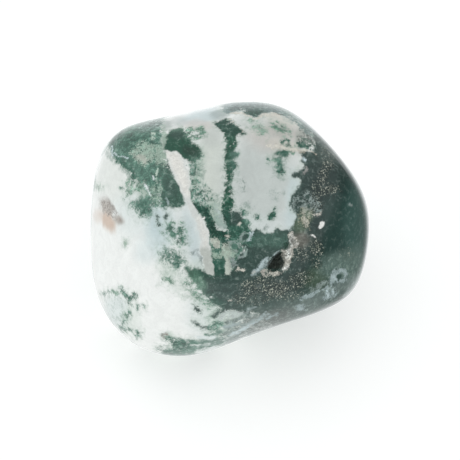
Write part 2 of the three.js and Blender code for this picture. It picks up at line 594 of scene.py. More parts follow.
# Marks: how they are drawn. An outline is closed and is rounded off through its corners, a stroke narrows to
# its ends, a spot is an oval and a ring is round. soft widens a mark's edge, lace makes its edge and its
# inside more broken, and level holds a mark back, in pixels, so that only patches of it come through.

plainMark = {"soft": 1.0, "lace": 1.0, "level": 99}


def mark(kind, colour, points, **settings):
    return {"kind": kind, "colour": colour, "points": points, **plainMark, **settings}


def outline(colour, *corners, **settings):
    return mark("outline", colour, corners, **settings)


def stroke(colour, width, *points, **settings):
    return mark("stroke", colour, points, width=width, **settings)


def spot(colour, x, y, halfWidth, halfHeight=None, turn=0, **settings):
    return mark("spot", colour, [(x, y)], size=(halfWidth, halfHeight or halfWidth), turn=turn, **settings)


def ring(colour, x, y, radius, width, **settings):
    return mark("ring", colour, [(x, y)], size=(radius, width), **settings)


# Deep green moss, charcoal and what else is dark
mossMarks = {
    "dark end": outline(
        "slate", (318, 128), (312, 134), (314, 141), (315.5, 148), (313, 152), (306, 151.5), (299.5, 152),
        (302.5, 157), (302, 161), (304, 165), (303.5, 169), (299, 171), (294, 172.5), (292, 175), (296, 178),
        (301, 180), (300.5, 184), (297, 188), (294, 194), (291.5, 199), (293, 207), (296, 213), (296, 221),
        (292, 227), (290, 231), (287, 228), (283, 231.5), (278, 227.5), (274, 231.5), (268, 234.5),
        (263, 232.5), (259, 230.5), (256, 229), (252, 232), (246, 231), (241, 238), (242, 246), (244, 252),
        (239, 257), (235, 262), (232, 270), (226, 276), (230, 300), (240, 309), (248, 309), (258, 314),
        (268, 322), (282, 332), (330, 322), (385, 280), (385, 190), (350, 130), lace=0.7,
    ),
    "right end": outline(
        "nightGreen", (322, 210), (328, 200), (338, 198), (345, 180), (352, 165), (375, 180), (380, 260),
        (352, 262), (338, 258), (328, 246), (322, 236), soft=3.0, lace=0.3,
    ),
    "upright band": outline(
        "bottleGreen", (224.5, 131), (225.5, 140), (225.5, 165), (225, 190), (223, 203), (221, 213),
        (228, 213), (232.5, 208), (232, 200), (231.5, 180), (231.5, 168), (233, 158), (235, 148), (236, 138),
        (234, 130), (230, 126), level=1.7, lace=1.2,
    ),
    "band foot": outline(
        "deepGreen", (221, 208), (227, 210), (231, 216), (234, 222), (231, 226), (228, 229), (224, 223),
        (222, 215), lace=1.2,
    ),
    "clearing floor": outline(
        "tealGreen", (209, 238), (222, 240), (236, 241), (242, 250), (236, 262), (230, 272), (224, 264),
        (212, 258),
    ),
    "band lobe": spot("tealGreen", 234.5, 154, 4.2, 3.8, lace=0.7),
    "band lower lobe": spot("deepGreen", 233.3, 164.5, 3.8, 4.6, lace=0.7),
    "band cap": outline(
        "darkGreen", (214.5, 123.5), (217, 127.5), (222, 131), (227, 135), (234, 136.5), (240, 133.5),
        (246, 134.5), (242, 130), (236, 126), (231, 121), (228, 118), (224.5, 118.5), (220, 121),
    ),
    "band cap wing": stroke("deepGreen", 1.6, (232, 121), (236, 125), (241, 129)),
    "crown blob": outline(
        "bottleGreen", (163.5, 149), (165, 141), (169, 133), (174, 129.5), (182, 129.5), (187, 135),
        (190, 141), (196, 145), (201, 150), (200.5, 155), (197, 160), (191, 162.5), (186, 160), (181, 154.5),
        (172, 151.5), soft=1.4, lace=0.5,
    ),
    "flank blob": outline(
        "flankGreen", (161, 172), (168, 169), (173, 175), (178, 184), (182, 193), (184, 201), (181, 206),
        (175, 208.5), (170, 207), (167.5, 203.5), (165, 207), (161, 204), (160.5, 192), (160.5, 180),
        soft=1.2, lace=0.8,
    ),
    "flank ring": stroke("deepGreen", 1.6, (162, 205), (163, 209), (166, 209)),
    "vein shadow": stroke("darkGreen", 1.6, (164, 152.5), (166.5, 158.5), (169, 165), (171, 172), lace=0.6),
    "thicket": outline(
        "tealGreen", (98, 130), (105, 143), (110, 149), (115, 155), (123, 161.5), (132.5, 169),
        (138.5, 176.5), (142, 181), (146, 180), (152, 187), (158, 190), (161, 178), (164, 168), (161, 158),
        (162, 146), (161, 128), (160, 112), (120, 105), soft=1.3, lace=1.4,
    ),
    "thicket arm": outline(
        "deepGreen", (114, 153), (122, 158), (132, 166), (138, 176), (134, 180), (128, 170), (118, 163),
        lace=1.2,
    ),
    "thicket foot": outline(
        "tealGreen", (134, 167), (142, 165), (152, 166), (160, 164), (167, 168), (162, 176), (157, 184),
        (148, 181), (142, 183), (137, 178), soft=1.4, lace=1.3,
    ),
    "thicket lower arm": outline(
        "tealGreen", (112, 150), (119, 155), (128, 161), (138, 166), (146, 174), (144, 182), (138, 177),
        (132, 169), (121, 160), soft=1.4,
    ),
    "thicket corner": outline(
        "flankGreen", (156, 161), (161, 159), (167, 164), (169, 170), (163, 173), (157, 170), level=1.0,
        lace=1.5,
    ),
    "flank streaks": outline(
        "tealGreen", (144, 178), (156, 176), (161, 184), (161, 196), (162, 207), (155, 205), (150, 197),
        (146, 188), level=0.5, soft=1.6, lace=1.6,
    ),
    "flank streak one": stroke("deepGreen", 2.8, (149, 180), (151, 188), (154, 197), (156, 203), lace=1.3),
    "flank streak two": stroke("deepGreen", 2.8, (154, 178), (156, 187), (158, 196), lace=1.3),
    "teal patch": outline(
        "tealGreen", (130, 203), (136, 201), (143, 198), (151, 197), (151, 213), (146, 217), (140, 216),
        (137, 210), (133, 207), soft=2.2,
    ),
    "teal patch core": spot("deepGreen", 143, 209, 5, 5.5, soft=2.0, level=0.5),
    "belt": outline(
        "darkGreen", (190, 203), (195, 208), (199, 214), (202, 219), (205, 222), (208, 229), (210, 236),
        (216, 240), (221, 241), (224, 245), (229, 243), (230, 236), (227, 232), (219, 230), (215, 226),
        (213, 221), (211, 216), (209, 211), (205, 206), (199, 202), lace=1.3,
    ),
    "between the strip reflections": outline(
        "deepGreen", (210.5, 252), (213, 257), (217, 260), (222, 260), (224.5, 264), (224.5, 276),
        (212, 278), (213.5, 268), lace=0.6,
    ),
    "beside the band": outline(
        "slate", (231, 213), (240, 213), (242, 218), (243, 226), (238, 231), (230, 230), (227, 224),
        (230, 219), lace=0.9,
    ),
    "under the pane": outline(
        "deepGreen", (226, 224), (236, 226), (242, 219), (247, 221), (249, 228), (253, 233), (252, 246),
        (246, 244), (238, 242), (230, 242), (226, 238), (228, 232), lace=1.2,
    ),
    "front belt": outline(
        "slate", (185, 268.5), (191, 269.5), (199, 269.5), (206, 271.5), (214, 276), (226, 274), (236, 272),
        (250, 285), (250, 320), (236, 312), (225, 310), (214, 304.5), (205.5, 297), (198, 288), (191.5, 278),
        soft=2.0, lace=0.8,
    ),
    "belt specks": outline(
        "deepGreen", (198, 186), (206, 188), (213, 196), (217, 206), (214, 212), (207, 206), (201, 198),
        level=-0.95, soft=1.3, lace=2.0,
    ),
    "needles": stroke(
        "deepGreen", 1.6, (198.5, 156), (197, 165), (194.5, 174), (192.5, 184), soft=0.9, lace=0.9,
    ),
    "needles two": stroke("tealGreen", 1.3, (195.5, 160), (193.5, 168), (192, 177), soft=0.9, lace=0.9),
    "needle lace": outline(
        "tealGreen", (190, 158), (200, 154), (200, 166), (198, 176), (195, 188), (191, 186), (190, 170),
        level=-0.6, soft=1.5, lace=2.0,
    ),
    "needle foot": outline(
        "tealGreen", (191, 189), (195, 187), (199, 191), (203, 198), (205, 206), (197, 203), (192, 197),
        level=-0.5, soft=1.4, lace=1.8,
    ),
    "right needle": stroke("paleFern", 1.2, (199, 160), (197, 172), (194, 186)),
    "clump by blob": outline(
        "tealGreen", (168, 226), (172, 224.5), (174, 230), (176, 235), (173, 238), (169, 236), (167, 231),
        soft=1.6, lace=1.2,
    ),
    "clump by blob core": spot("slate", 170.3, 228, 2.0, 2.8, soft=1.2),
    "long clump": outline(
        "tealGreen", (177, 229), (180, 228), (183, 232), (185, 237), (184, 243), (180, 243), (176.5, 239),
        (175.5, 234), soft=2.0, level=0.9,
    ),
    "long clump core": spot("deepGreen", 178.5, 237.5, 2.4, 3.4, -20, soft=1.3),
    "clump flecks": outline(
        "fernGreen", (164, 226), (172, 223), (183, 227), (186, 239), (180, 245), (169, 240), level=-1.0,
        soft=2.0, lace=1.5,
    ),
    "long clump tail": stroke("deepGreen", 1.6, (177, 240), (178, 244)),
    "low clump": outline(
        "tealGreen", (163, 252), (168, 250), (173, 252), (178, 254.5), (181.5, 259), (182, 265), (178, 268),
        (172, 265), (167, 261), (163, 257), soft=3.0, lace=0.9, level=0.3,
    ),
    "low clump core": outline(
        "deepGreen", (164, 252), (170, 251), (174, 257), (179, 260), (180, 266), (176, 266), (170, 260),
        (165, 256), soft=2.2, level=0.4,
    ),
    "twig of low clump": stroke(
        "fernGreen", 2.0, (163, 281), (167.5, 278.5), (171, 281.5), soft=1.8, level=0.1,
    ),
    "dot in haze": spot("slate", 166.3, 215.8, 1.6, 2.0, soft=1.2, lace=0.6),
    "haze streak": stroke("slate", 2.0, (155.5, 215), (157, 220), (159, 225), soft=1.4, lace=1.4),
    "tick": stroke("fernHaze", 2.0, (123.8, 244.5), (126.5, 241.8), soft=1.6, lace=0.8, level=0.4),
    "edge tick": spot("fernHaze", 98, 187, 2.4, 1.4, soft=1.4),
    "left twig": stroke("tealGreen", 1.3, (118.5, 187), (123, 188.5)),
    "left cluster": outline(
        "fernGreen", (125, 186), (131, 183), (138, 184), (141, 188), (136, 191), (129, 191), level=0.0,
        soft=1.5, lace=2.0,
    ),
    "left cluster tail": stroke("fernGreen", 1.5, (130, 190), (127.5, 194), (124, 199.5)),
    "pane blob": outline(
        "deepGreen", (275, 153), (276.5, 150), (280, 150.5), (285, 149.5), (288.5, 152), (288, 156.5),
        (285, 158), (281, 155.5), (278, 156.5), soft=1.4, lace=0.7,
    ),
    "pane stalk": stroke(
        "tealGreen", 4.2, (278, 159), (279, 165), (280.5, 170), (283, 174), soft=1.6, lace=0.9,
    ),
    "pane stalk core": stroke("deepGreen", 2.0, (278, 161), (278.5, 166), lace=1.2),
    "pane stalk foot": spot("deepGreen", 281.5, 171.5, 3.0, 3.4, -20, soft=1.3, lace=1.2),
    "pane small spot": spot("tealGreen", 268.5, 160.5, 1.4, 2.6, lace=1.2),
    "pane small flecks": stroke("fernGreen", 1.8, (271, 161), (274, 159), (276, 160), lace=1.8),
    "pane bean": spot("deepGreen", 257.5, 217, 2.1, 2.6),
    "pane kidney": outline(
        "deepGreen", (274, 208), (276, 210), (275.5, 214), (274, 219), (270, 220), (268, 217), (271, 214),
        (273, 211),
    ),
    "pane bead left": spot("tealGreen", 244.5, 212.5, 3.2, 3.0, soft=1.4, lace=1.2),
    "pane bead low": spot("tealGreen", 246.5, 223, 3.4, 3.6, soft=1.4, lace=1.2),
    "pane edge bead": spot("slate", 291.5, 205, 2.0, 2.8, 15),
    "pane ring": ring("deepGreen", 285.5, 142.5, 3.4, 2.0, lace=1.8, level=0.6),
    "pane ring flecks": stroke("fernGreen", 2.4, (285, 148), (289, 150), (293, 152), soft=1.3, lace=2.0),
    "upper arc": stroke("fernGreen", 4.4, (273, 124), (280, 128), (288, 133.5), soft=2.4, lace=1.2),
    "upper arc core": stroke("tealGreen", 2.4, (280, 127), (284, 130), (287, 133), soft=1.6, lace=1.2),
    "upper arc left": stroke(
        "paleFern", 3.4, (251, 121), (257, 127), (263, 131.5), soft=2.6, lace=1.1, level=0.0,
    ),
    "cream shore greens": outline(
        "deepGreen", (299, 145), (300, 140), (304, 138), (308, 140), (312, 143), (314, 148), (309, 150),
        (303, 148.5), (299, 148.5), level=0.5, soft=1.6, lace=1.7,
    ),
    "cream shore haze": outline(
        "mauve", (299, 138), (303, 132), (309, 133), (314, 139), (312, 144), (304, 141), level=-0.1,
        soft=2.5, lace=1.2,
    ),
    "shore lobe": spot("slate", 307, 155, 3.0, 2.6, 20, lace=0.8),
    "shore lobe low": spot("slate", 309, 163.5, 4.4, 4.2, lace=0.8),
    "zigzag": stroke("tealGreen", 1.5, (190, 136), (195, 132), (198, 136), (202, 132)),
    "zigzag bead": spot("tealGreen", 202, 132.5, 2.4, 2.0),
    "zigzag line": stroke("fernGreen", 1.4, (190, 136.5), (199, 136.5)),
    "zigzag lace": outline(
        "fernGreen", (187, 129), (203, 128), (205, 134), (196, 139), (187, 138), level=-0.2, lace=1.8,
    ),
    # the top rim: dark moss, painted lighter and greyer as the sheen of the light along it
    "crown rim": outline(
        "rimMossAndSheen", (222, 106), (226, 112), (233, 112.5), (243, 111), (252, 116), (262, 116), (268, 114),
        (280, 115), (290, 118), (300, 127), (309, 134), (330, 120), (300, 80), (250, 70), (226, 96),
        soft=1.8, lace=0.8,
    ),
    "crown rim streak": stroke(
        "greySlate", 3.4, (228, 109), (242, 107.5), (256, 107.5), (272, 109), soft=1.6, lace=1.4,
    ),
    "crown rim streak two": stroke(
        "greySlate", 3.0, (262, 104.5), (276, 107), (288, 112.5), (299, 121), soft=1.5, lace=1.4,
    ),
    "crown rim streak three": stroke(
        "tealGreen", 2.6, (283, 111), (292, 116), (302, 125), (312, 136), soft=1.5, lace=1.4,
    ),
    "crown rim dark": outline(
        "darkGreen", (242, 110.5), (250, 110), (258, 109.5), (267, 112.5), (262, 114.5), (256, 117.5),
        (250, 115), soft=1.1,
    ),
    "crown rim line": stroke("slate", 1.8, (274, 113), (278, 115), (283, 114.5)),
    "lower twig": stroke("slate", 2.6, (192, 322), (197, 324.5), (203, 328), (210, 326), soft=1.3, lace=0.7),
    "lower spot": spot("slate", 198, 309.5, 3.0, 2.0, 20, soft=1.4, lace=1.2),
    "belt fringe": outline(
        "fernGreen", (188, 276), (195, 286), (204, 296), (212, 304), (206, 303), (198, 296), (191, 287),
        soft=3.0, lace=1.3, level=-0.5,
    ),
    "shore of pale lens": outline(
        "slate", (213, 317), (216, 313), (221, 310), (230, 307), (238, 307), (232, 310), (224, 312),
        (219, 315.5), (215, 318), soft=1.3, lace=0.8, level=0.8,
    ),
    "line under lens": stroke(
        "slate", 2.8, (217, 323.5), (227, 322), (237, 319.5), (246, 315.5), soft=1.4, lace=0.7,
    ),
    "low blotches": outline(
        "tealGreen", (208, 325), (215, 321.5), (222, 322), (222, 326), (215, 329), (209, 329), level=0.6,
        soft=1.3, lace=1.6,
    ),
    "low streak": stroke("tealGreen", 3.0, (206, 334), (213, 335), (221, 331.5), soft=1.5, lace=0.7),
    "low streak two": stroke("greySlate", 2.6, (222, 334), (230, 331), (240, 326), soft=1.6, lace=0.7),
    "low streak three": stroke("tealGreen", 2.2, (214, 339), (224, 337), (233, 332), soft=1.6, lace=0.7),
    "keel line": stroke(
        "tealGreen", 3.0, (165.5, 336.5), (173, 339), (184, 341), (196, 342), (208, 341.5), (220, 339.5),
        (232, 335), soft=1.3, lace=0.6,
    ),
    "keel line low": stroke(
        "tealGreen", 2.2, (190, 347), (202, 347), (214, 344.5), (226, 340.5), soft=1.4, lace=0.7,
    ),
    "keel patch": outline(
        "tealGreen", (168, 339), (178, 341), (188, 342.5), (192, 346), (196, 351), (190, 356), (178, 358),
        (166, 354.5), (156, 348), (166, 350), (173, 347), level=1.1, soft=1.3,
    ),
    "keel head": outline(
        "deepGreen", (164, 336.5), (171, 337.5), (181, 340), (187, 343), (181, 346), (173, 343.5),
        (166, 340), level=0.8, soft=1.4, lace=1.4,
    ),
    "keel patch core": outline(
        "deepGreen", (172, 341), (184, 343), (189, 347), (184, 351), (176, 349), level=0.6, soft=1.6,
        lace=1.2,
    ),
    "keel patch line": stroke(
        "deepGreen", 2.4, (158, 348.5), (167, 353), (180, 356), (192, 355.5), soft=1.4, lace=0.8,
    ),
    "grey keel streak": stroke(
        "greySlate", 2.4, (226, 341.5), (238, 336), (249, 329), (260, 321), soft=1.2, lace=0.5,
    ),
    "grey keel streak two": stroke(
        "slate", 1.8, (236, 331), (244, 327), (254, 320.5), (262, 314), soft=1.3, lace=0.5,
    ),
    "grey keel streak four": stroke(
        "slate", 1.6, (246, 323.5), (255, 318), (264, 313), (273, 309), soft=1.2, lace=0.5,
    ),
    "grey keel streak low": stroke(
        "slate", 1.3, (234, 335), (247, 328.5), (259, 322.5), (270, 318), soft=1.2, lace=0.5,
    ),
    "grey keel streak three": stroke(
        "greySlate", 2.6, (246, 320), (254, 315), (262, 309), soft=1.4, lace=0.5,
    ),
    # painted sheen of the table's light on the underside, over the moss
    "grey keel field": outline(
        "mist", (226, 322), (240, 318), (252, 314), (278, 318), (270, 332), (244, 342), (226, 346),
        (224, 332), level=0.6,
    ),
    "lower left twigs": stroke("tealGreen", 2.0, (101, 294.5), (104, 293), (108.5, 292), soft=1.3, lace=1.2),
    "lower left dash": stroke("fernGreen", 2.6, (112, 292.5), (117, 292.5), soft=1.8, level=0.5),
    "branch": stroke(
        "tealGreen", 2.2, (120, 288.5), (123, 291.5), (126, 296), (130, 299), soft=1.4, lace=1.2,
    ),
    "branch crown": outline(
        "deepGreen", (127, 297.5), (130, 296.5), (134, 294), (134.5, 297.5), (131.5, 301), (130, 305),
        (128, 302), soft=1.5, lace=1.2,
    ),
    "little branch": stroke("tealGreen", 1.5, (137, 306), (138, 310.5), soft=1.3, level=0.3),
    "little dot": stroke("tealGreen", 1.5, (143.5, 305.5), (145, 308), soft=1.3, level=0.3),
    "long branch": stroke(
        "tealGreen", 2.6, (129, 311), (128, 316), (125.5, 320), (122.5, 324), soft=1.4, lace=1.1,
    ),
    "long branch core": stroke("deepGreen", 1.8, (128.5, 313), (127.5, 318), soft=1.2),
    "long branch fork": stroke("fernGreen", 1.6, (127, 318), (124, 315), soft=1.3),
    "edge branch": stroke("tealGreen", 2.0, (120, 327), (126, 330), (131, 329.5), soft=1.6, level=0.4),
    "edge cluster": outline(
        "tealGreen", (135.5, 335.5), (136.5, 332.5), (139.5, 331.5), (140, 334), (138, 337), soft=1.6,
        lace=1.2,
    ),
    "pit ring": ring("pitDark", 164.3, 335.3, 2.4, 1.0, lace=0.5),
}

# Moss that lies deeper in the stone, and so shows through faint and soft
deepMarks = {
    "belt haze": outline(
        "tealGreen", (192, 160), (203, 165), (206, 185), (218, 196), (222, 212), (212, 224), (204, 208),
        (191, 200), level=0.6,
    ),
    "band haze": outline(
        "fernGreen", (223, 140), (238, 140), (239, 170), (236, 206), (222, 208), level=-0.8,
    ),
    "thicket veil": outline(
        "tealGreen", (104, 150), (120, 168), (130, 180), (142, 190), (158, 204), (165, 212), (168, 190),
        (160, 160), (158, 128), (120, 124), level=1.2,
    ),
    "wedge flecks": outline(
        "deepGreen", (214, 212), (220, 211), (227, 225), (227, 232), (219, 229), level=-0.3, soft=1.2,
    ),
    "pane faint one": spot("tealGreen", 275.5, 195, 4.5, 3.4, soft=2.0, level=0.1),
    "pane faint two": spot("tealGreen", 245, 206, 4.5, 3.0, soft=2.0, level=0.1),
    "pane faint three": spot("deepGreen", 266, 227, 1.6, 2.6),
    "pane faint six": stroke("deepGreen", 2.4, (242, 180), (241, 185), (243.5, 190), soft=1.3, lace=1.6),
    "pane stalk halo": spot("tealGreen", 280.5, 167, 6, 10, soft=2.0, level=0.4),
    "lower left tint": outline(
        "fernGreen", (104, 296), (122, 294), (130, 308), (126, 330), (112, 320), level=-0.8,
    ),
    "low clump halo": outline(
        "fernGreen", (160, 250), (172, 248), (184, 254), (184, 270), (168, 266), level=-0.6,
    ),
    "fringe veil": outline(
        "tealGreen", (184, 264), (194, 270), (203, 284), (216, 298), (224, 308), (210, 306), (196, 296),
        (186, 280), level=0.2, soft=2.5,
    ),
    "front veil": outline(
        "fernHaze", (158, 264), (176, 270), (188, 286), (196, 300), (182, 298), (168, 286), level=-0.5,
        soft=3.0,
    ),
    "keel veil": outline("fernGreen", (160, 336), (180, 340), (196, 344), (192, 354), (176, 360), level=0.3),
    "keel right veil": outline(
        "fernGreen", (208, 330), (226, 330), (246, 324), (262, 316), (268, 324), (240, 340), (214, 344),
        level=0.2,
    ),
    "lens veil": outline(
        "fernGreen", (206, 316), (226, 306), (246, 308), (248, 318), (222, 330), (208, 332), level=0.0,
    ),
    "strip side": stroke("slate", 2.2, (197.5, 250), (199.5, 257), (202, 266), soft=1.2),
    "strip side flecks": stroke("slate", 3.0, (192, 253), (195, 251), (198, 250), soft=1.3),
    "zigzag veil": outline("fernGreen", (188, 128), (206, 128), (206, 138), (188, 140), level=0.3),
}

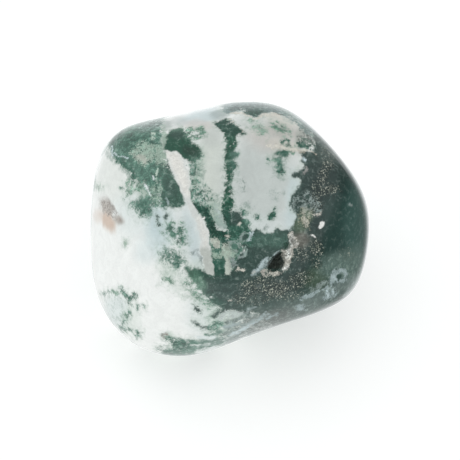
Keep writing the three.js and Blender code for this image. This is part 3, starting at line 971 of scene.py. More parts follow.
# Pale clearings, crusts and chips that lie over the moss, with the painted reflections of two strip lights,
# drawn as pale veins, and painted shade in the pocket and the cleft
paleMarks = {
    # the next five marks are the painted reflection of a long strip light, a pale streak down the front
    "long strip reflection": outline(
        "vein", (164.5, 151), (170, 151.5), (179, 153.5), (184, 161), (188, 172), (190, 183), (190, 197),
        (193.5, 205.5), (197, 212), (200, 217), (204, 223), (208, 232), (209.5, 244), (210, 252),
        (201.5, 252), (200, 238), (197, 226), (191, 213), (184.5, 200), (182, 193), (176.5, 181),
        (171.5, 170), (168, 160), lace=0.4,
    ),
    "long strip reflection top": outline(
        "reflectionWhite", (165, 152), (171, 152.5), (178, 154), (183, 163), (186, 173), (188.5, 184), (190, 194),
        (186, 197), (181, 187), (176, 177), (171, 165), soft=1.5, lace=0.8,
    ),
    "long strip reflection light": stroke(
        "reflectionWhite", 3.4, (198, 218), (201.5, 226), (204.5, 236), (205.5, 246), soft=1.6, lace=0.8,
    ),
    "long strip reflection foot": outline(
        "reflectionLow", (201, 249), (210, 249), (211, 257), (212.5, 266), (213.5, 275), (208.5, 273.5),
        (205.5, 269), (203.5, 261), lace=0.5,
    ),
    "strip reflection edge": stroke("chip", 1.0, (203, 221), (207, 230), (208.5, 240), lace=0.4),
    "short strip reflection": outline(
        # painted reflection of a second, shorter strip light beside the first
        "reflectionGreen", (224, 250), (231, 249), (231, 262), (231.5, 272), (229, 274.5), (225, 274), (225, 264),
        lace=0.8,
    ),
    "clearing top": outline(
        "creamGreen", (211, 240), (216, 239), (220, 243), (219, 248), (213, 247), lace=1.6,
    ),
    "clearing middle": outline(
        "creamGreen", (222, 246), (227, 244), (231, 247), (231, 256), (229, 262), (224, 259), (221, 252),
        lace=1.6,
    ),
    "clearing lobes": outline(
        "fernHaze", (212, 248), (219, 250), (226, 246), (231, 243), (237, 243), (238.5, 246), (237, 252),
        (236, 257), (231, 259), (222, 258), (216, 258), (212, 254), level=0.3, lace=2.0,
    ),
    "clearing ring": ring("mist", 234.5, 247, 4.0, 1.5, lace=1.5),
    "clearing low ring": ring("mist", 240, 254.5, 3.0, 1.4, lace=1.5),
    "under pane ring": ring("mist", 245, 236.5, 4.4, 1.4, lace=1.4),
    "clearing low haze": outline(
        "mist", (230, 258), (236, 260), (236, 266), (231, 268), level=0.0, lace=2.0,
    ),
    "clearing lobe": outline(
        "wedgeGrey", (244, 247), (246.4, 246), (247.5, 249), (246.6, 256), (244.8, 256.5), (244.4, 252),
        level=0.5, lace=0.9,
    ),
    "clearing arm": stroke(
        "mist", 2.0, (226, 240), (230, 243.5), (236, 242.5), (240, 244), soft=1.2, lace=1.4,
    ),
    "belt wedge": outline(
        "wedgeGrey", (213, 205), (218, 203), (220.5, 211), (223.5, 219), (226.5, 225), (226, 229),
        (221, 226), (217, 220), (214.5, 213), level=0.25, soft=1.3, lace=1.8,
    ),
    "belt wedge light": stroke("coolMilk", 1.2, (215.5, 206), (218.5, 212), (221, 218), soft=1.3, lace=1.6),
    "right wedge": stroke("edgeBlue", 2.6, (253, 232), (251, 236), (250, 240)),
    "white slash": stroke("mist", 1.6, (228.3, 211.5), (230.5, 215), (233, 218), soft=0.9, lace=0.5),
    "slash spot": outline(
        "cream", (236, 224.2), (238.2, 223.6), (239.6, 221.8), (240.6, 224), (238.8, 226), (236.8, 225.9),
        lace=0.3,
    ),
    "belt chip": spot("brightChip", 202.8, 219, 2.3, 1.5, -15, lace=0.3),
    "band dot": spot("cream", 228.5, 168.5, 1.2, 1.4),
    "band lower dot": spot("chip", 229, 190.5, 1.0, 1.6),
    "cream dot": spot("cream", 228.5, 236.5, 2.0, 1.1),
    "cream arc": stroke("cream", 1.9, (235.5, 268.5), (238, 270), (241, 270.5), (245, 268.5)),
    "thicket squiggle": stroke("edgeBlue", 1.2, (112, 147), (112.5, 152), (114, 156)),
    "thicket arm": stroke("edgeBlue", 1.2, (115, 153), (120, 157), (123, 156), (126, 159)),
    "thicket bead": spot("edgeBlue", 126, 158.5, 1.2),
    "thicket clearing": outline(
        "fernHaze", (131, 150), (136, 145), (143, 142.5), (150, 145), (155, 150), (154, 158), (149, 163),
        (145, 166), (139, 162), (133, 156), level=0.8, soft=1.8, lace=2.2,
    ),
    "thicket clearing right": outline(
        "fernHaze", (151, 147), (157, 146), (162, 151), (163.5, 158), (161, 163), (155, 162), (150, 157),
        level=0.4, soft=1.8, lace=1.9,
    ),
    "thicket pale spot": outline(
        "creamGreen", (135, 156), (139, 154.5), (145, 157), (147.5, 161), (145, 165), (140, 161), soft=1.5,
        lace=1.3,
    ),
    "thicket right gap": stroke("fernHaze", 3.6, (164, 126), (164, 134), (163, 141), (163, 148), soft=1.8),
    "thicket right patch": outline(
        "fernHaze", (160, 150), (163, 153), (165.5, 158), (167, 163), (164, 164), (160, 160), (158, 154),
        level=0.3, soft=1.4, lace=1.5,
    ),
    "thicket dot": spot("greenHaze", 153, 134, 1.4),
    "thicket dot two": spot("greenHaze", 153.5, 138.5, 1.4, 1.0),
    "flank oval": spot("coolMilk", 153.7, 177.6, 1.3, 1.9, -20),
    "flank streak": stroke("greenHaze", 1.2, (157.5, 169), (157, 176), (157.5, 183)),
    "flank streak left": stroke("coolMilk", 1.6, (145, 184), (147.5, 190), (150, 195), soft=1.2),
    "blob tick": stroke("fernHaze", 1.1, (160.5, 184), (160.8, 190), (161.5, 196), lace=1.2),
    "streak whites": outline(
        "fernHaze", (152, 186), (158, 186), (160, 196), (160, 204), (154, 199), level=-0.45, soft=1.6,
        lace=1.8,
    ),
    "blob flake": stroke("blueGrey", 1.2, (166, 197), (167, 201), (168.5, 204), lace=1.2),
    "cap loop": stroke("fernHaze", 1.2, (225, 125), (226.5, 121), (229, 119)),
    "cap bead": spot("vein", 228.6, 122, 1.2, 1.0),
    "cap wing gap": stroke("cream", 1.0, (229, 117.5), (234, 122), (239, 127), (245, 133), lace=0.7),
    "crown crust": stroke(
        "cream", 1.7, (230, 113), (240, 112.5), (249, 116), (256, 118.5), (265, 115), (280, 116.5),
    ),
    "crown crust two": stroke("cream", 1.3, (266, 114.5), (274, 114), (282, 119)),
    "pane cream line": stroke(
        "cream", 2.4, (268, 146), (275, 146.5), (282, 147), (290, 149.5), soft=1.8, lace=1.2,
    ),
    "cream shore": stroke("cream", 1.6, (287, 148.5), (294, 150), (301, 150.5), (309, 150.5), (316, 154)),
    "cream shore line": stroke("tan", 1.0, (298, 151.8), (304, 152.4), (311, 152), (317, 156), lace=1.4),
    "cream shore rise": stroke("mist", 1.0, (305, 128), (309.5, 134), (312.5, 141), soft=1.2),
    "shore notch": spot("edgeBlue", 304, 158.8, 2.0, 1.2, 20),
    "shore bead": spot("mauveMist", 306, 171, 2.4, 3.0, soft=1.4),
    "white chip": outline(
        "brightChip", (320.3, 222.8), (322, 221.8), (324, 223), (323.8, 225.8), (321.6, 228), (319.4, 228.3),
        (318.7, 226.6), (319.6, 224.6), lace=0.3,
    ),
    "nick": stroke("brightChip", 1.9, (310.8, 236), (313.3, 237), (315.6, 239.2), lace=0.3),
    "far dot": spot("mist", 351, 204, 1.1),
    "rosy arc": stroke("cream", 1.4, (314, 213.5), (317, 215.5), (320, 213.5), soft=1.5),
    "olive smear": outline(
        "oliveCream", (301, 210), (307, 207), (312, 211), (309, 218), (308, 226), (304, 229), (302, 220),
        level=0.3, soft=2.2, lace=1.7,
    ),
    "pink smear": stroke(
        "cream", 3.2, (304.5, 213), (306, 220), (305.5, 227), soft=2.2, lace=1.6, level=0.5,
    ),
    "crust tail": outline(
        "crust", (289.5, 233), (292, 232), (294.5, 237), (297.5, 242), (296, 247), (292, 247), (289.5, 240),
        level=0.5, soft=1.3, lace=2.0,
    ),
    "crust tail streak": stroke("chip", 1.4, (291, 235), (293.5, 239), (296, 243.5), lace=1.4),
    "crust wall": outline(
        "crust", (281.5, 253), (285, 248.5), (288, 244.5), (291, 243.5), (293.5, 248), (294, 254),
        (291.5, 259), (290, 265), (286, 269.5), (281.5, 270), (283.5, 265), (283, 259), lace=1.4,
    ),
    "crust wall light": stroke("vein", 3.0, (288.5, 247), (288, 252), (288, 257), soft=1.6, lace=1.2),
    "crust foot light": stroke(
        "vein", 2.0, (282.5, 269.5), (285, 268.5), (287.5, 265.5), soft=1.2, lace=1.2,
    ),
    # the pocket's inside, painted dark as the shade in its depth
    "pocket hole": outline(
        "hole", (266.5, 266.5), (267, 262.5), (270, 258), (274, 254.3), (278, 252.2), (280.5, 252.8),
        (281, 257), (283, 261), (283, 265), (281, 268.5), (276, 269.3), (270.5, 268.8), lace=0.4,
    ),
    "pocket rim": stroke(
        "blueGrey", 1.3, (263.5, 268), (267, 262.3), (271, 257.3), (276, 252.8), (279.5, 250.8), lace=0.5,
    ),
    "cleft dark": outline(
        "inkGreen", (284, 242), (287, 240), (290.5, 242), (289.5, 246), (286.5, 250), (283.5, 249),
        level=1.0, lace=1.8,
    ),
    # painted shade in the deep end of the cleft
    "cleft hole": spot("hole", 292.8, 241.5, 1.0, 1.8, -20),
    "cleft rim": stroke("chip", 1.3, (290.5, 239.5), (291, 242), (292, 245), lace=0.6),
    "pocket wedge": outline(
        "blueGrey", (253, 275.5), (254.5, 271), (258, 266), (262, 261), (266, 258), (268.5, 258.5),
        (265.5, 263.5), (260.5, 269.5), soft=1.7, lace=0.8,
    ),
    "pocket wedge light": stroke("edgeBlue", 2.0, (257, 270), (261, 265), (265.5, 260), soft=1.3, lace=0.7),
    "pocket wedge tip": stroke("cream", 1.3, (253.5, 275), (255, 271.5)),
    "crust shelf": outline(
        "crust", (261.5, 271), (265, 269), (270, 270.8), (277, 271.3), (283, 270.5), (280, 274),
        (273, 275.5), (267, 277), (263, 275), level=-0.2, lace=2.2,
    ),
    "crust shelf drips": stroke("crust", 1.6, (284, 266), (286, 262), (290, 264)),
    "fringe chip": spot("vein", 212, 297.6, 1.6, 1.1),
    "arc dot": spot("cream", 230, 300.6, 1.3, 1.4),
    "pale lens": outline(
        "lensGrey", (217, 318.5), (221, 314.5), (227, 312), (234, 311), (241, 311), (243, 313.5), (239, 317),
        (230, 319), (222, 320), soft=1.5, lace=1.5, level=0.9,
    ),
    "lens end": stroke("mist", 1.6, (242, 316), (247, 312.5), (253, 308.5), soft=1.4, lace=0.55),
    "keel light one": stroke("mist", 2.0, (238, 329), (248, 323.5), (258, 318), soft=1.3, lace=0.55),
    "keel light two": stroke(
        "edgeBlue", 1.8, (228, 336), (238, 331.5), (250, 325), (259, 319.5), soft=1.3, lace=0.55,
    ),
    "keel light six": stroke("blueGrey", 1.6, (247, 309.5), (252, 308), (256, 306), soft=1.4, lace=0.55),
    "keel light eight": stroke("blueGrey", 1.4, (250, 324.5), (259, 319.5), (269, 314), soft=1.3, lace=0.5),
    "keel light seven": stroke(
        "blueGrey", 2.0, (261.5, 316), (264, 313.5), (267, 311.5), soft=1.3, lace=0.55,
    ),
    "keel light three": stroke("blueGrey", 2.0, (267, 318.5), (272, 316), (278, 313.5), soft=1.5, lace=0.55),
    "keel light four": stroke("blueGrey", 2.0, (222, 328), (232, 326), (242, 322), soft=1.4, lace=0.55),
    "keel light five": stroke("coolMilk", 2.8, (196, 337), (206, 338), (216, 337), soft=1.6, lace=0.55),
    "lower light oval": spot("blueGrey", 300.5, 307, 3.8, 2.6, soft=1.8, lace=0.9),
    "lower streak": stroke(
        "blueGrey", 1.7, (300, 299.5), (305, 297.5), (311, 294.5), (318, 291), (325, 287.5), (332, 282),
        (337, 278), soft=1.2, lace=1.3,
    ),
    "lower streak above": stroke("mist", 2.6, (312, 290), (320, 286), (328, 281), soft=2.0, lace=1.4),
    "lower streak two": stroke("greySlate", 2.0, (313, 308.5), (319, 308)),
    "blue patch": outline(
        "blueGrey", (330, 279), (334, 273), (338, 270), (342, 269.5), (341, 272.5), (337, 276), (332, 283),
        (329, 284), level=0.7, soft=1.8, lace=1.5,
    ),
    "blue ring": ring("blueGrey", 340, 275.5, 5.6, 3.0, soft=1.6, lace=1.3),
    "blue ring inside": stroke("edgeBlue", 1.6, (333, 276), (337, 281)),
    "mottle": outline(
        "blueGrey", (324, 296), (328, 289), (334, 288), (336, 293), (331, 298), (326, 299), level=-0.2,
        soft=1.5, lace=2.0,
    ),
    "mottle hatch one": stroke("edgeBlue", 1.1, (327, 290), (328, 294), (328, 298), soft=1.2, lace=1.4),
    "mottle hatch two": stroke("edgeBlue", 1.1, (331, 288), (332, 292), (333, 296), soft=1.2, lace=1.4),
    "edge dashes": stroke("mist", 1.6, (343, 297), (346, 293), (350, 288)),
    "pale field": outline(
        "mist", (294, 200), (299, 195), (306, 192), (314, 195), (320, 204), (317, 213), (306, 213),
        (296, 210), level=-0.6, soft=1.2, lace=2.2,
    ),
    "field ring one": ring("mist", 307, 197.5, 3.6, 1.6, lace=1.5),
    "field ring two": ring("mist", 308.5, 206, 3.8, 1.8, lace=1.5),
    "field ring three": ring("mist", 300.5, 204, 3.4, 1.3, lace=1.6),
}

# Dark again, over the pale marks
darkSpots = {
    "field dot one": spot("slate", 307, 197.5, 2.4, 2.8),
    "field dot two": spot("slate", 308.5, 206, 2.0, 3.0),
    "field dot three": spot("slate", 301, 198.5, 1.6, 2.0),
    "blue patch dot": spot("slate", 339.5, 276.5, 2.2, 2.4, soft=1.4),
    "clearing dot": spot("slate", 241, 254.5, 1.8, 2.0),
    "clearing lobe dark": spot("tealGreen", 234.5, 247, 3.0, 3.2),
    "under pane dot": spot("slate", 245, 236.5, 3.0, 2.8, lace=0.8),
    "pit middle": spot("pitDark", 164.3, 335.8, 1.4, 1.0),
}

# Clouds: soft ovals of colour in the stone beneath the marks, and some painted sheen, reflection and shade,
# which are said so where they stand.
# name: colour, middle, half width, half height, turn in degrees, strength
groundClouds = {
    "left upper shade": ("shadedMilk", 122, 178, 34, 34, 0, 0.9),
    "left haze": ("coolMilk", 140, 215, 30, 26, 0, 0.7),
    "blue haze": ("blueHaze", 160, 228, 16, 26, 0, 0.9),
    "blue haze core": ("edgeBlue", 156, 222, 7, 18, -12, 0.75),
    "blue haze tail": ("blueHaze", 150, 250, 18, 14, -30, 0.5),
    "strip side haze": ("coolMilk", 190, 235, 16, 34, -12, 0.9),
    "strip side blue": ("edgeBlue", 192, 240, 6, 30, -14, 0.5),
    "green haze low": ("greenHaze", 196, 272, 14, 14, 0, 0.35),
    "green haze clump": ("greenHaze", 168, 266, 12, 14, 0, 0.3),
    "front fade": ("coolMilk", 205, 315, 22, 24, 0, 0.6),
    "front green": ("greenHaze", 222, 320, 20, 16, 0, 0.5),
    "front streaks": ("greenHaze", 174, 282, 16, 9, 50, 0.25),
    "fringe green": ("fernHaze", 200, 300, 16, 7, 42, 0.3),
    # the next two clouds are painted shade: the milky ground darker and cooler along the bottom
    "keel pale": ("coolMilk", 210, 346, 24, 6, -8, 0.8),
    "lower left green": ("coolMilk", 116, 312, 14, 20, 0, 0.8),
    "lower left green two": ("greenHaze", 131, 318, 10, 16, 0, 0.3),
    "left pane": ("leftQuartz", 213, 165, 16, 46, 0, 1.0),
    "left pane top": ("deepQuartz", 210, 135, 14, 14, 0, 0.5),
    "left pane haze": ("greenHaze", 197, 175, 7, 30, 8, 0.6),
    "crown sheen": ("edgeBlue", 204, 116, 26, 8, -12, 0.8),
    "wedge under": ("wedgeGrey", 220, 222, 5.5, 10, -24, 1.0),
    # the next three clouds are painted sheen of the light along the top rim, greying the white ground
    "crown rim left": ("mist", 219, 114, 11, 5, -12, 0.6),
    "crown left": ("mist", 165, 125, 7, 6, 0, 0.6),
    "crown left sheen": ("mist", 177, 121, 11, 6, -12, 0.35),
    "crown rose": ("rosyQuartz", 198, 125, 16, 6, 0, 0.7),
    "right pane": ("greyQuartz", 264, 180, 44, 62, 0, 1.0),
    "right pane low": ("coolMilk", 262, 226, 36, 14, 0, 0.6),
    "right pane middle": ("deepQuartz", 246, 170, 14, 34, 0, 0.25),
    "right pane edge": ("blueHaze", 294, 196, 9, 26, 0, 0.7),
    "right pane edge two": ("blueHaze", 292, 220, 9, 14, 0, 0.7),
    "pane top rose": ("rosyQuartz", 276, 136, 34, 20, 10, 0.8),
    "pane corner": ("mauveGrey", 304, 136, 11, 9, 20, 0.5),
    "pane dull": ("mauveGrey", 280, 130, 14, 8, 10, 0.3),
    "pane cream": ("cream", 285, 145, 20, 5, 12, 0.6),
    "pane crust": ("cream", 284, 120, 26, 6, 16, 0.5),
    "pane pale top": ("greyQuartz", 250, 122, 18, 8, 0, 0.6),
    "thicket ground": ("greenHaze", 148, 152, 18, 14, 0, 0.9),
    "thicket under": ("fernHaze", 150, 186, 14, 18, 0, 0.8),
    "belt under": ("greenHaze", 212, 212, 14, 12, 0, 0.8),
    "rust": ("rust", 108, 221, 6.5, 13, -28, 0.9),
    "rust edge": ("rust", 97, 216, 4, 8, 0, 0.4),
    "scar": ("pitted", 107, 207, 11, 6, 50, 0.9),
    "scar rim": ("pitDark", 112, 206, 10, 1.6, 58, 0.5),
    "scar end": ("pitted", 119, 220, 5.5, 5, 30, 1.0),
    "scar end dark": ("pitDark", 121, 221, 2.6, 3, 0, 0.5),
    "pit glow": ("greenHaze", 168, 336, 8, 4, 0, 0.5),
}

mossClouds = {
    "right end": ("charcoal", 326, 200, 30, 56, 0, 0.9),
    "right end core": ("nightGreen", 334, 222, 12, 36, 0, 0.8),
    # the next two clouds are painted reflection along the right rim: the dark end's teal made lighter there
    "right end teal": ("nightTeal", 357, 224, 16, 44, 0, 0.75),
    "right end low": ("lowTeal", 352, 268, 12, 24, 14, 0.75),
    "green under pane": ("tealGreen", 270, 240, 24, 9, 0, 0.45),
    "green by band": ("darkGreen", 226, 216, 8, 12, 0, 0.6),
    "belt foot": ("darkGreen", 219, 276, 10, 9, 0, 0.8),
    "crown blob core": ("inkGreen", 191, 151, 9, 6, 25, 0.8),
    "crown blob top": ("slate", 177, 135, 8, 5, 0, 0.6),
    "crown blob edge": ("fernGreen", 180, 129, 14, 3, 0, 0.6),
    "belt core": ("inkGreen", 215, 228, 6, 9, -30, 0.5),
    "front dark": ("greySlate", 214, 286, 16, 14, 0, 0.35),
    "front slate": ("nightGreen", 229, 289, 20, 14, 0, 0.7),
    "front left": ("fernGreen", 195, 279, 8, 16, -36, 0.8),
    "front low": ("deepGreen", 216, 302, 10, 6, 30, 0.5),
    "front top": ("bottleGreen", 200, 274, 16, 6, 0, 0.4),
    "speckle ground": ("charcoal", 280, 284, 34, 12, -10, 0.6),
    "under crust": ("charcoal", 300, 260, 14, 22, 0, 0.6),
    "olive side": ("olive", 300, 226, 8, 8, 0, 0.8),
    "olive field": ("olive", 307, 214, 8, 8, 0, 0.9),
    "mauve smear": ("brownMauve", 301, 240, 9, 9, 0, 0.85),
    "olive low": ("olive", 316, 280, 12, 12, 0, 0.6),
    # the next five clouds are painted sheen of the table's light on the underside at the lower right
    "lower right": ("greySlate", 300, 308, 50, 14, -22, 0.7),
    "lower right light": ("mist", 322, 296, 34, 7, -28, 0.45),
    "lower right mid": ("lowTeal", 335, 264, 18, 12, -32, 0.8),
    "lower right rim": ("mist", 355, 286, 8, 16, 30, 0.85),
    "keel grey": ("mauve", 264, 322, 34, 9, -20, 0.6),
    "keel grey left": ("mist", 226, 336, 24, 8, -20, 0.35),
    "thicket dark": ("deepGreen", 130, 142, 24, 10, 0, 0.6),
    # painted sheen along the top left rim
    "thicket edge": ("mist", 152, 123, 18, 7, -14, 0.75),
    "thicket top left": ("darkGreen", 113, 134, 13, 8, -45, 0.9),
    # painted sheen along the top right rim
    "right shoulder": ("mist", 300, 121, 13, 5, 44, 0.5),
    "flank blob core": ("slate", 171, 189, 6, 9, -20, 0.4),
    # the next two clouds are painted sheen along the top rim and down the upper right rim
    "crown rim light": ("mist", 216, 106, 14, 6, -8, 0.6),
    "upper right rim": ("greySlate", 312, 132, 8, 16, -42, 0.5),
    "upper right field": ("greySlate", 328, 154, 12, 12, 0, 0.55),
}

# Where small things are scattered, as soft ovals: middle, half width, half height, turn, how thickly
scatterFields = {
    "grains": [
        (328, 165, 7, 6, 30, 0.9),      # upper right cluster, down to the belt at the right
        (323, 176, 6, 12, 20, 0.75),
        (316, 187, 6, 7, 0, 0.8),
        (328, 190, 11, 6, -10, 0.85),
        (316, 197, 6, 6, 0, 0.55),
        (327, 154, 10, 6, 50, 0.45),
        (341, 192, 3, 2, 0, 0.5),
        (317, 207, 6, 8, 0, 0.5),
        (316, 248, 7, 9, -20, 1.0),     # beside the pocket
        (316, 264, 5, 6, 0, 0.7),
        (303, 254, 8, 10, 0, 0.5),
        (252, 288, 14, 9, 0, 0.8),      # the row in front of the pocket
        (276, 290, 16, 10, -8, 0.95),
        (299, 281, 14, 9, -24, 0.75),
        (266, 281, 16, 6, 0, 0.7),
        (240, 299, 9, 5, -12, 0.7),
        (348, 254, 10, 8, 0, 0.25),
        (262, 300, 14, 4, -10, 0.5),
        (292, 296, 14, 5, -20, 0.4),
    ],
    "pits": [(109, 209, 13, 6, 50, 1.0)],
}


# Drawing the marks, in the photograph's pixels
markShape = {
    "curveSteps": 5,                # straight steps from one point of a mark to the next
    "taper": 0.55,                  # how much narrower a stroke is at its ends
    "taperPower": 3,                # higher keeps it wide for longer
    "far": 12,                      # how far outside a mark it still counts
    "runIn": 2.5,                   # how far to either side of its edge it runs into a larger mark
    "wander": 1.8,                  # how far the edges wander from the lines that were drawn
    "seenFacing": (0.02, 0.2),      # how far skin faces the camera where the marks take over
}


def curveThrough(points, closed):
    # a smooth line through the points, in short straight steps
    steps = markShape["curveSteps"]
    count = len(points)
    points = np.array(points, float)
    line = []
    for i in range(count if closed else count - 1):
        before = points[(i - 1) % count] if closed or i else points[i]
        start = points[i]
        end = points[(i + 1) % count]
        after = points[(i + 2) % count] if closed or i + 2 < count else end
        for step in range(steps):
            t = step / steps
            line.append(0.5 * (
                2 * start + (end - before) * t
                + (2 * before - 5 * start + 4 * end - after) * t * t
                + (3 * start - before - 3 * end + after) * t ** 3
            ))
    if not closed:
        line.append(points[-1])
    return np.array(line)


def segmentDistances(x, y, a, b):
    # distance to the stretch from a to b, and how far along it the nearest place is
    along = b - a
    length2 = max(along @ along, 1e-9)
    t = np.clip(((x - a[0]) * along[0] + (y - a[1]) * along[1]) / length2, 0, 1)
    return np.hypot(x - a[0] - t * along[0], y - a[1] - t * along[1]), t


def outlineField(mark, x, y):
    line = curveThrough(mark["points"], True)
    nearest = np.full(len(x), 1e9)
    inside = np.zeros(len(x), bool)
    for a, b in zip(line, np.roll(line, -1, axis=0)):
        nearest = np.minimum(nearest, segmentDistances(x, y, a, b)[0])
        if a[1] != b[1]:
            crossed = (a[1] > y) != (b[1] > y)
            inside ^= crossed & (x < (b[0] - a[0]) * (y - a[1]) / (b[1] - a[1]) + a[0])
    return np.where(inside, nearest, -nearest)


def strokeField(mark, x, y):
    line = curveThrough(mark["points"], False)
    field = np.full(len(x), -1e9)
    pieces = len(line) - 1
    for i in range(pieces):
        away, t = segmentDistances(x, y, line[i], line[i + 1])
        along = (i + t) / pieces
        fromMiddle = np.abs(2 * along - 1)
        width = mark["width"] / 2 * (1 - markShape["taper"] * fromMiddle ** markShape["taperPower"])
        field = np.maximum(field, width - away)
    return field


def spotField(mark, x, y):
    return (1 - ovalDistance(x, y, mark["points"][0], mark["size"], mark["turn"])) * min(mark["size"])


def ringField(mark, x, y):
    middle = mark["points"][0]
    radius, width = mark["size"]
    return width / 2 - np.abs(np.hypot(x - middle[0], y - middle[1]) - radius)


fieldMakers = {"outline": outlineField, "stroke": strokeField, "spot": spotField, "ring": ringField}


def layMarks(marks, x, y):
    # how far inside a mark each point is, in millimetres, with its colour and its lace
    field = np.full(len(x), -float(markShape["far"]))
    colours = np.tile(pigment(next(iter(marks.values()))["colour"]), (len(x), 1))
    lace = np.ones(len(x))
    for mark in marks.values():
        corners = np.array(mark["points"], float)
        spread = markShape["far"] + max(mark.get("size", (0,)))
        near = (x > corners[:, 0].min() - spread) & (x < corners[:, 0].max() + spread)
        near &= (y > corners[:, 1].min() - spread) & (y < corners[:, 1].max() + spread)
        near = np.nonzero(near)[0]
        found = fieldMakers[mark["kind"]](mark, x[near], y[near]) / mark["soft"]
        found = np.minimum(found, mark["level"])
        # a small mark keeps its colour inside a large one, and runs softly into it
        runIn = smoothStep(found, -markShape["runIn"], markShape["runIn"])
        share = np.where(field[near] > 0, runIn, found > field[near])
        colours[near] += (pigment(mark["colour"]) - colours[near]) * share[:, None]
        lace[near] += (mark["lace"] - lace[near]) * share
        field[near] = np.maximum(field[near], found)
    return field * pixelSize / mm, colours, lace


def layClouds(clouds, base, x, y, seen):
    colours = base.copy()
    for colour, *oval in clouds.values():
        share = (ovalShare(oval, x, y) * seen)[:, None]
        colours += (pigment(colour) - colours) * share
    return colours


# Noise in the rock, about -1 to 1: its size in millimetres, its octaves and its seed
rockNoises = {
    "wander right": (0.9, 3, 5),
    "wander down": (0.9, 3, 6),
    "swirl x": (3.5, 3, 7),
    "swirl y": (3.5, 3, 8),
    "swirl z": (3.5, 3, 9),
    "broad": (9.0, 3, 1),
    "clumps": (4.6, 5, 2),
    "wisps": (3.0, 5, 3),
    "ridges": (7.0, 4, 4),
}
noiseFall = 0.9    # higher weakens the finer octaves more
noiseStep = 2.1    # how much finer each octave is
seedShift = np.array([17.3, 5.9, 11.1])


def rockNoise(points, name):
    size, octaves, seed = rockNoises[name]
    scaled = points / (size * mm) + seed * seedShift
    return np.array([noise.fractal(Vector(p), noiseFall, noiseStep, octaves) for p in scaled])


# The pattern on the sides that the photograph doesn't show, in millimetres. A pair says where something
# starts and where it is complete.
hiddenRock = {
    "darkFrom": 3.0,                # along the length, from where the rock is dark
    "darkWander": 7.0,
    "darkEdge": 0.3,
    "darkColours": (4, 12),         # along the length, where the dark end's colours come in
    "swirl": 1.1,                   # how far the pattern is drawn about
    "clumpAmount": 0.12,            # higher leaves less moss
    "clumpEdge": 1.7,
    "branchWidth": 0.045,
    "branchEdge": 6,
    "branchLimit": 0.5,
    "deepMore": 0.35,               # how much further the deep moss reaches than the moss
    "deepWisps": 0.8,
    "paleFrom": 0.34,               # higher leaves fewer pale wisps
    "paleDark": 0.16,               # how much higher in the dark end
    "paleEdge": 1.5,
    "paleLimit": 0.1,
    "tealWisps": (0.0, 0.4),
    "darkClumps": (0.25, 0.6),
    "tealNight": (-0.2, 0.3),
    "greyGround": (0.0, 0.4),
    "grains": 0.8,
    "grainWisps": (0.1, 0.5),
    "grainDark": (0.0, 1.5),
    "lace": 1.5,
    "calmDark": 0.7,                # how much less lace the dark end has
    "limit": 1.4,                   # how far any of the fields goes either way
}


def addNumbers(piece, name, values):
    attribute = piece.data.attributes.new(name, "FLOAT", "POINT")
    attribute.data.foreach_set("value", values.astype(np.float32))


def addColours(piece, name, values):
    attribute = piece.data.attributes.new(name, "FLOAT_COLOR", "POINT")
    whole = np.ones((len(values), 4), np.float32)
    whole[:, :3] = values
    attribute.data.foreach_set("color", whole.ravel())


def mixed(under, over, share):
    return under + (over - under) * share[:, None]


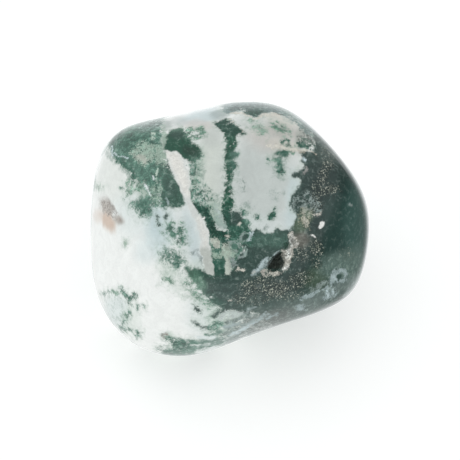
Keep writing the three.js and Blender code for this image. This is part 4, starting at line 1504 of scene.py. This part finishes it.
def paintStone(body):
    points = pointsOf(body)
    x, y = photoPlaces(points)
    x += markShape["wander"] * rockNoise(points, "wander right")
    y += markShape["wander"] * rockNoise(points, "wander down")
    seen = smoothStep(towardsEye(points, normalsOf(body)), *markShape["seenFacing"])

    # what the unseen sides would be
    rock = hiddenRock
    limit = rock["limit"]
    swirl = [rock["swirl"] * mm * rockNoise(points, "swirl " + axis) for axis in "xyz"]
    drawn = points + np.array(swirl).T
    broad = rockNoise(points, "broad")
    clumps = rockNoise(drawn, "clumps")
    wisps = rockNoise(drawn, "wisps")
    ridges = np.abs(rockNoise(drawn, "ridges"))
    lengthwise = (points[:, 0] - heart.x) / mm
    darkEnd = (lengthwise - rock["darkFrom"] + rock["darkWander"] * broad) * rock["darkEdge"]
    scattered = (clumps - rock["clumpAmount"]) * rock["clumpEdge"]
    branches = np.minimum((rock["branchWidth"] - ridges) * rock["branchEdge"], rock["branchLimit"] + wisps)
    wildMoss = np.maximum(np.maximum(darkEnd, scattered), branches)
    darkShare = smoothStep(lengthwise, *rock["darkColours"])
    paleWisps = (wisps - rock["paleFrom"] - rock["paleDark"] * darkShare) * rock["paleEdge"]
    wildFields = {
        "moss": wildMoss,
        "deep": wildMoss + rock["deepMore"] + rock["deepWisps"] * wisps,
        "pale": np.minimum(paleWisps, rock["paleLimit"]),
        "dark": np.full(len(x), -limit),
    }
    wildGreen = mixed(pigment("deepGreen"), pigment("tealGreen"), smoothStep(wisps, *rock["tealWisps"]))
    wildGreen = mixed(wildGreen, pigment("darkGreen"), smoothStep(clumps, *rock["darkClumps"]))
    nightRock = mixed(pigment("nightGreen"), pigment("nightTeal"), smoothStep(broad, *rock["tealNight"]))
    wildColours = {
        "moss": mixed(wildGreen, nightRock, darkShare),
        "deep": np.tile(pigment("tealGreen"), (len(x), 1)),
        "pale": mixed(pigment("fernHaze"), pigment("mist"), darkShare),
        "dark": np.tile(pigment("slate"), (len(x), 1)),
    }
    greyShare = smoothStep(broad, *rock["greyGround"]) * (1 - seen)
    wildGround = mixed(pigment("milk"), pigment("greyQuartz"), greyShare)
    wildLace = rock["lace"] * (1 - rock["calmDark"] * darkShare)
    grainWisps = smoothStep(wisps, *rock["grainWisps"])
    wildAmounts = {
        "grains": rock["grains"] * grainWisps * smoothStep(darkEnd, *rock["grainDark"]),
        "pits": np.zeros(len(x)),
    }

    for name, layer in layers.items():
        field, colours, lace = layMarks(layer["marks"], x, y)
        field = np.clip(field, -limit, limit) * seen + np.clip(wildFields[name], -limit, limit) * (1 - seen)
        colours = mixed(wildColours[name], colours, seen)
        if name == "moss":
            colours = layClouds(mossClouds, colours, x, y, seen)
        addNumbers(body, name, field)
        addNumbers(body, name + "Lace", lace * seen + wildLace * (1 - seen))
        addColours(body, name + "Colour", colours)
    addColours(body, "ground", layClouds(groundClouds, wildGround, x, y, seen))

    for name, ovals in scatterFields.items():
        amount = np.zeros(len(x))
        for oval in ovals:
            amount = np.maximum(amount, ovalShare(oval, x, y))
        addNumbers(body, name, amount * seen + wildAmounts[name] * (1 - seen))
    report("marks laid")


# Material: agate, built up from the painted layers, with the fine broken edges and grain of the rock.
# ragged is how far the edge of a layer wanders, cover how much of it hides what is under it, thin how much
# less it hides in places, and shade how much darker and lighter it is. lace, which each mark sets, raises all
# but cover.
layers = {
    "deep": dict(marks=deepMarks, edge=(-0.25, 0.35), ragged=1.5, cover=0.6, thin=0.2, shade=0.25),
    "moss": dict(marks=mossMarks, edge=(-0.20, 0.13), ragged=1.15, cover=1.0, thin=0.35, shade=0.6),
    "pale": dict(marks=paleMarks, edge=(-0.13, 0.10), ragged=0.8, cover=1.0, thin=0.3, shade=0.25),
    "dark": dict(marks=darkSpots, edge=(-0.08, 0.08), ragged=0.6, cover=1.0, thin=0.2, shade=0.3),
}

# Patterns in the rock: how many to a millimetre, detail, roughness and distortion
agatePatterns = {
    "clumps": (1.3, 6, 0.7, 0.3),
    "specks": (5.5, 3, 0.6, 0.0),
    "mottle": (1.6, 5, 0.68, 0.5),
    "veil": (0.7, 5, 0.6, 1.0),
    "worms": (3.0, 2, 0.55, 0.8),
    "beads": (5.4, 2, 0.6, 0.0),
    "pits": (3.4, 3, 0.6, 0.0),
    "grit": (4.5, 3, 0.65, 0.0),
    "bumps": (6.0, 3, 0.6, 0.0),
}

# A pair says where something starts and where it is complete, or its darkest and its lightest.
agate = {
    "gloss": 0.14,                  # roughness of the polish
    "pocketRoughness": 0.7,
    "bend": 1.47,
    "speckWander": 0.5,             # how much the specks add to the wander of a layer's edge
    "thinMottle": (0.0, 0.25),
    "thinLimit": 0.9,
    "speckShade": 0.6,
    "shadeGain": 4,
    "veilEdge": (0.3, 0.7),
    "veilShade": (0.95, 1.03),
    "fleckEdge": (-0.2, 0.2),
    "fleckShade": (0.972, 1.022),
    "hazeWander": 2.0,
    "hazeEdge": (-0.6, 0.15),
    "hazeShare": 0.45,
    "grainGround": -0.4,            # how much darker the rock is among the grains
    "wormLine": -1.3,               # how closely the beads keep to the crooked lines
    "grainMore": 0.12,
    "grainEdge": (0.07, 0.17),
    "grainField": (0.0, 0.3),
    "grainTone": (-0.12, 0.16),
    "pitEdge": (0.5, 0.62),
    "gritShade": 4.5,
    "bumpHeight": 0.05 * mm,
    "bumpStrength": (0.04, 1.0),    # on the polish and in the crust
    "sharpAngle": 50,               # degrees past which an edge isn't shaded smooth
}


def blendColours(tree, share, under, over, how="MIX"):
    made = newNode(tree, "ShaderNodeMix", data_type="RGBA", blend_type=how)
    feed(tree, made.inputs["Factor"], share)
    feed(tree, made.inputs["A"], under)
    feed(tree, made.inputs["B"], over)
    return made.outputs["Result"]


def paintedNumber(tree, name):
    return newNode(tree, "ShaderNodeAttribute", attribute_name=name).outputs["Fac"]


def paintedColour(tree, name):
    return newNode(tree, "ShaderNodeAttribute", attribute_name=name).outputs["Color"]


def rockPattern(tree, place, name):
    made = newNode(tree, "ShaderNodeTexNoise", noise_dimensions="3D")
    feed(tree, made.inputs["Vector"], place)
    for socket, value in zip(("Scale", "Detail", "Roughness", "Distortion"), agatePatterns[name]):
        made.inputs[socket].default_value = value
    return made.outputs["Fac"]


def around(tree, pattern):
    # a pattern's lows and highs, to either side of nought
    return calc(tree, "SUBTRACT", pattern, 0.5)


def shaded(tree, colour, level):
    tint = newNode(tree, "ShaderNodeCombineColor")
    for socket in tint.inputs:
        feed(tree, socket, level)
    return blendColours(tree, 1.0, colour, tint.outputs[0], "MULTIPLY")


def agateMaterial():
    material = bpy.data.materials.new("tree_agate")
    material.use_nodes = True
    tree = material.node_tree
    shader = tree.nodes["Principled BSDF"]
    toMillimetres = newNode(tree, "ShaderNodeMapping")
    toMillimetres.inputs["Scale"].default_value = [1 / mm] * 3
    feed(tree, toMillimetres.inputs["Vector"], newNode(tree, "ShaderNodeTexCoord").outputs["Object"])
    place = toMillimetres.outputs[0]

    clumps = around(tree, rockPattern(tree, place, "clumps"))
    specks = around(tree, rockPattern(tree, place, "specks"))
    mottle = around(tree, rockPattern(tree, place, "mottle"))
    veil = rockPattern(tree, place, "veil")

    def layOver(colour, name):
        shape = layers[name]
        lace = paintedNumber(tree, name + "Lace")
        wander = calc(tree, "MULTIPLY_ADD", specks, agate["speckWander"], clumps)
        height = calc(tree, "ADD", times(tree, wander, lace, shape["ragged"]), paintedNumber(tree, name))
        thin = times(tree, rise(tree, mottle, *agate["thinMottle"], 0.0, shape["thin"]), lace)
        cover = calc(tree, "SUBTRACT", shape["cover"], calc(tree, "MINIMUM", thin, agate["thinLimit"]))
        share = times(tree, rise(tree, height, *shape["edge"]), cover)
        # darker and lighter in places, as the rock itself is
        spread = calc(tree, "MULTIPLY_ADD", specks, agate["speckShade"], mottle)
        spread = times(tree, spread, lace, agate["shadeGain"] * shape["shade"])
        over = shaded(tree, paintedColour(tree, name + "Colour"), calc(tree, "EXPONENT", spread))
        return blendColours(tree, share, colour, over)

    # clear quartz and milky ground, faintly clouded and flecked
    colour = paintedColour(tree, "ground")
    colour = shaded(tree, colour, rise(tree, veil, *agate["veilEdge"], *agate["veilShade"]))
    colour = shaded(tree, colour, rise(tree, specks, *agate["fleckEdge"], *agate["fleckShade"]))

    # green haze around the moss, moss deep in the stone, and the moss itself
    nearMoss = calc(tree, "MULTIPLY_ADD", clumps, agate["hazeWander"], paintedNumber(tree, "moss"))
    haze = rise(tree, nearMoss, *agate["hazeEdge"], 0.0, agate["hazeShare"])
    colour = blendColours(tree, haze, colour, pigmentNode("fernHaze"))
    colour = layOver(colour, "deep")
    colour = layOver(colour, "moss")

    # tan grains in short crooked lines over the dark rock
    amount = paintedNumber(tree, "grains")
    colour = shaded(tree, colour, calc(tree, "MULTIPLY_ADD", amount, agate["grainGround"], 1.0))
    worms = calc(tree, "ABSOLUTE", around(tree, rockPattern(tree, place, "worms")))
    beads = around(tree, rockPattern(tree, place, "beads"))
    beaded = calc(tree, "MULTIPLY_ADD", worms, agate["wormLine"], beads)
    beaded = calc(tree, "MULTIPLY_ADD", amount, agate["grainMore"], beaded)
    grains = times(tree, rise(tree, beaded, *agate["grainEdge"]), rise(tree, amount, *agate["grainField"]))
    tone = rise(tree, calc(tree, "ADD", mottle, clumps), *agate["grainTone"])
    grainColour = blendColours(tree, tone, pigmentNode("dullGrain"), pigmentNode("grain"))
    colour = blendColours(tree, grains, colour, grainColour)

    # pale crusts and clearings, the painted reflections of two strip lights drawn as pale veins, the pocket's
    # painted shade, the dark spots on them, and brown pits in the scar at the left
    colour = layOver(colour, "pale")
    colour = layOver(colour, "dark")
    holes = rise(tree, rockPattern(tree, place, "pits"), *agate["pitEdge"])
    pits = times(tree, holes, paintedNumber(tree, "pits"))
    colour = blendColours(tree, pits, colour, pigmentNode("pitDark"))

    # the crust's grains are paler than the gaps between them
    rough = paintedNumber(tree, "rough")
    grit = around(tree, rockPattern(tree, place, "grit"))
    colour = shaded(tree, colour, calc(tree, "EXPONENT", times(tree, grit, rough, agate["gritShade"])))

    feed(tree, shader.inputs["Base Color"], colour)
    shader.inputs["IOR"].default_value = agate["bend"]
    dullness = rise(tree, rough, 0.0, 1.0, agate["gloss"], agate["pocketRoughness"])
    feed(tree, shader.inputs["Roughness"], dullness)
    bump = newNode(tree, "ShaderNodeBump")
    bump.inputs["Distance"].default_value = agate["bumpHeight"]
    feed(tree, bump.inputs["Strength"], rise(tree, rough, 0.0, 1.0, *agate["bumpStrength"]))
    feed(tree, bump.inputs["Height"], rockPattern(tree, place, "bumps"))
    feed(tree, shader.inputs["Normal"], bump.outputs["Normal"])
    return material


paintStone(stoneBody)
addNumbers(stoneBody, "rough", crustShare(stoneBody))
stoneBody.data.materials.clear()
stoneBody.data.materials.append(agateMaterial())
onlySelect(stoneBody)
bpy.ops.object.shade_smooth_by_angle(angle=math.radians(agate["sharpAngle"]))
report("stone painted")

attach(stoneBody, "root")
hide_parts("stone")
report(f"{sum(len(p.vertices) - 2 for p in stoneBody.data.polygons)} triangles")
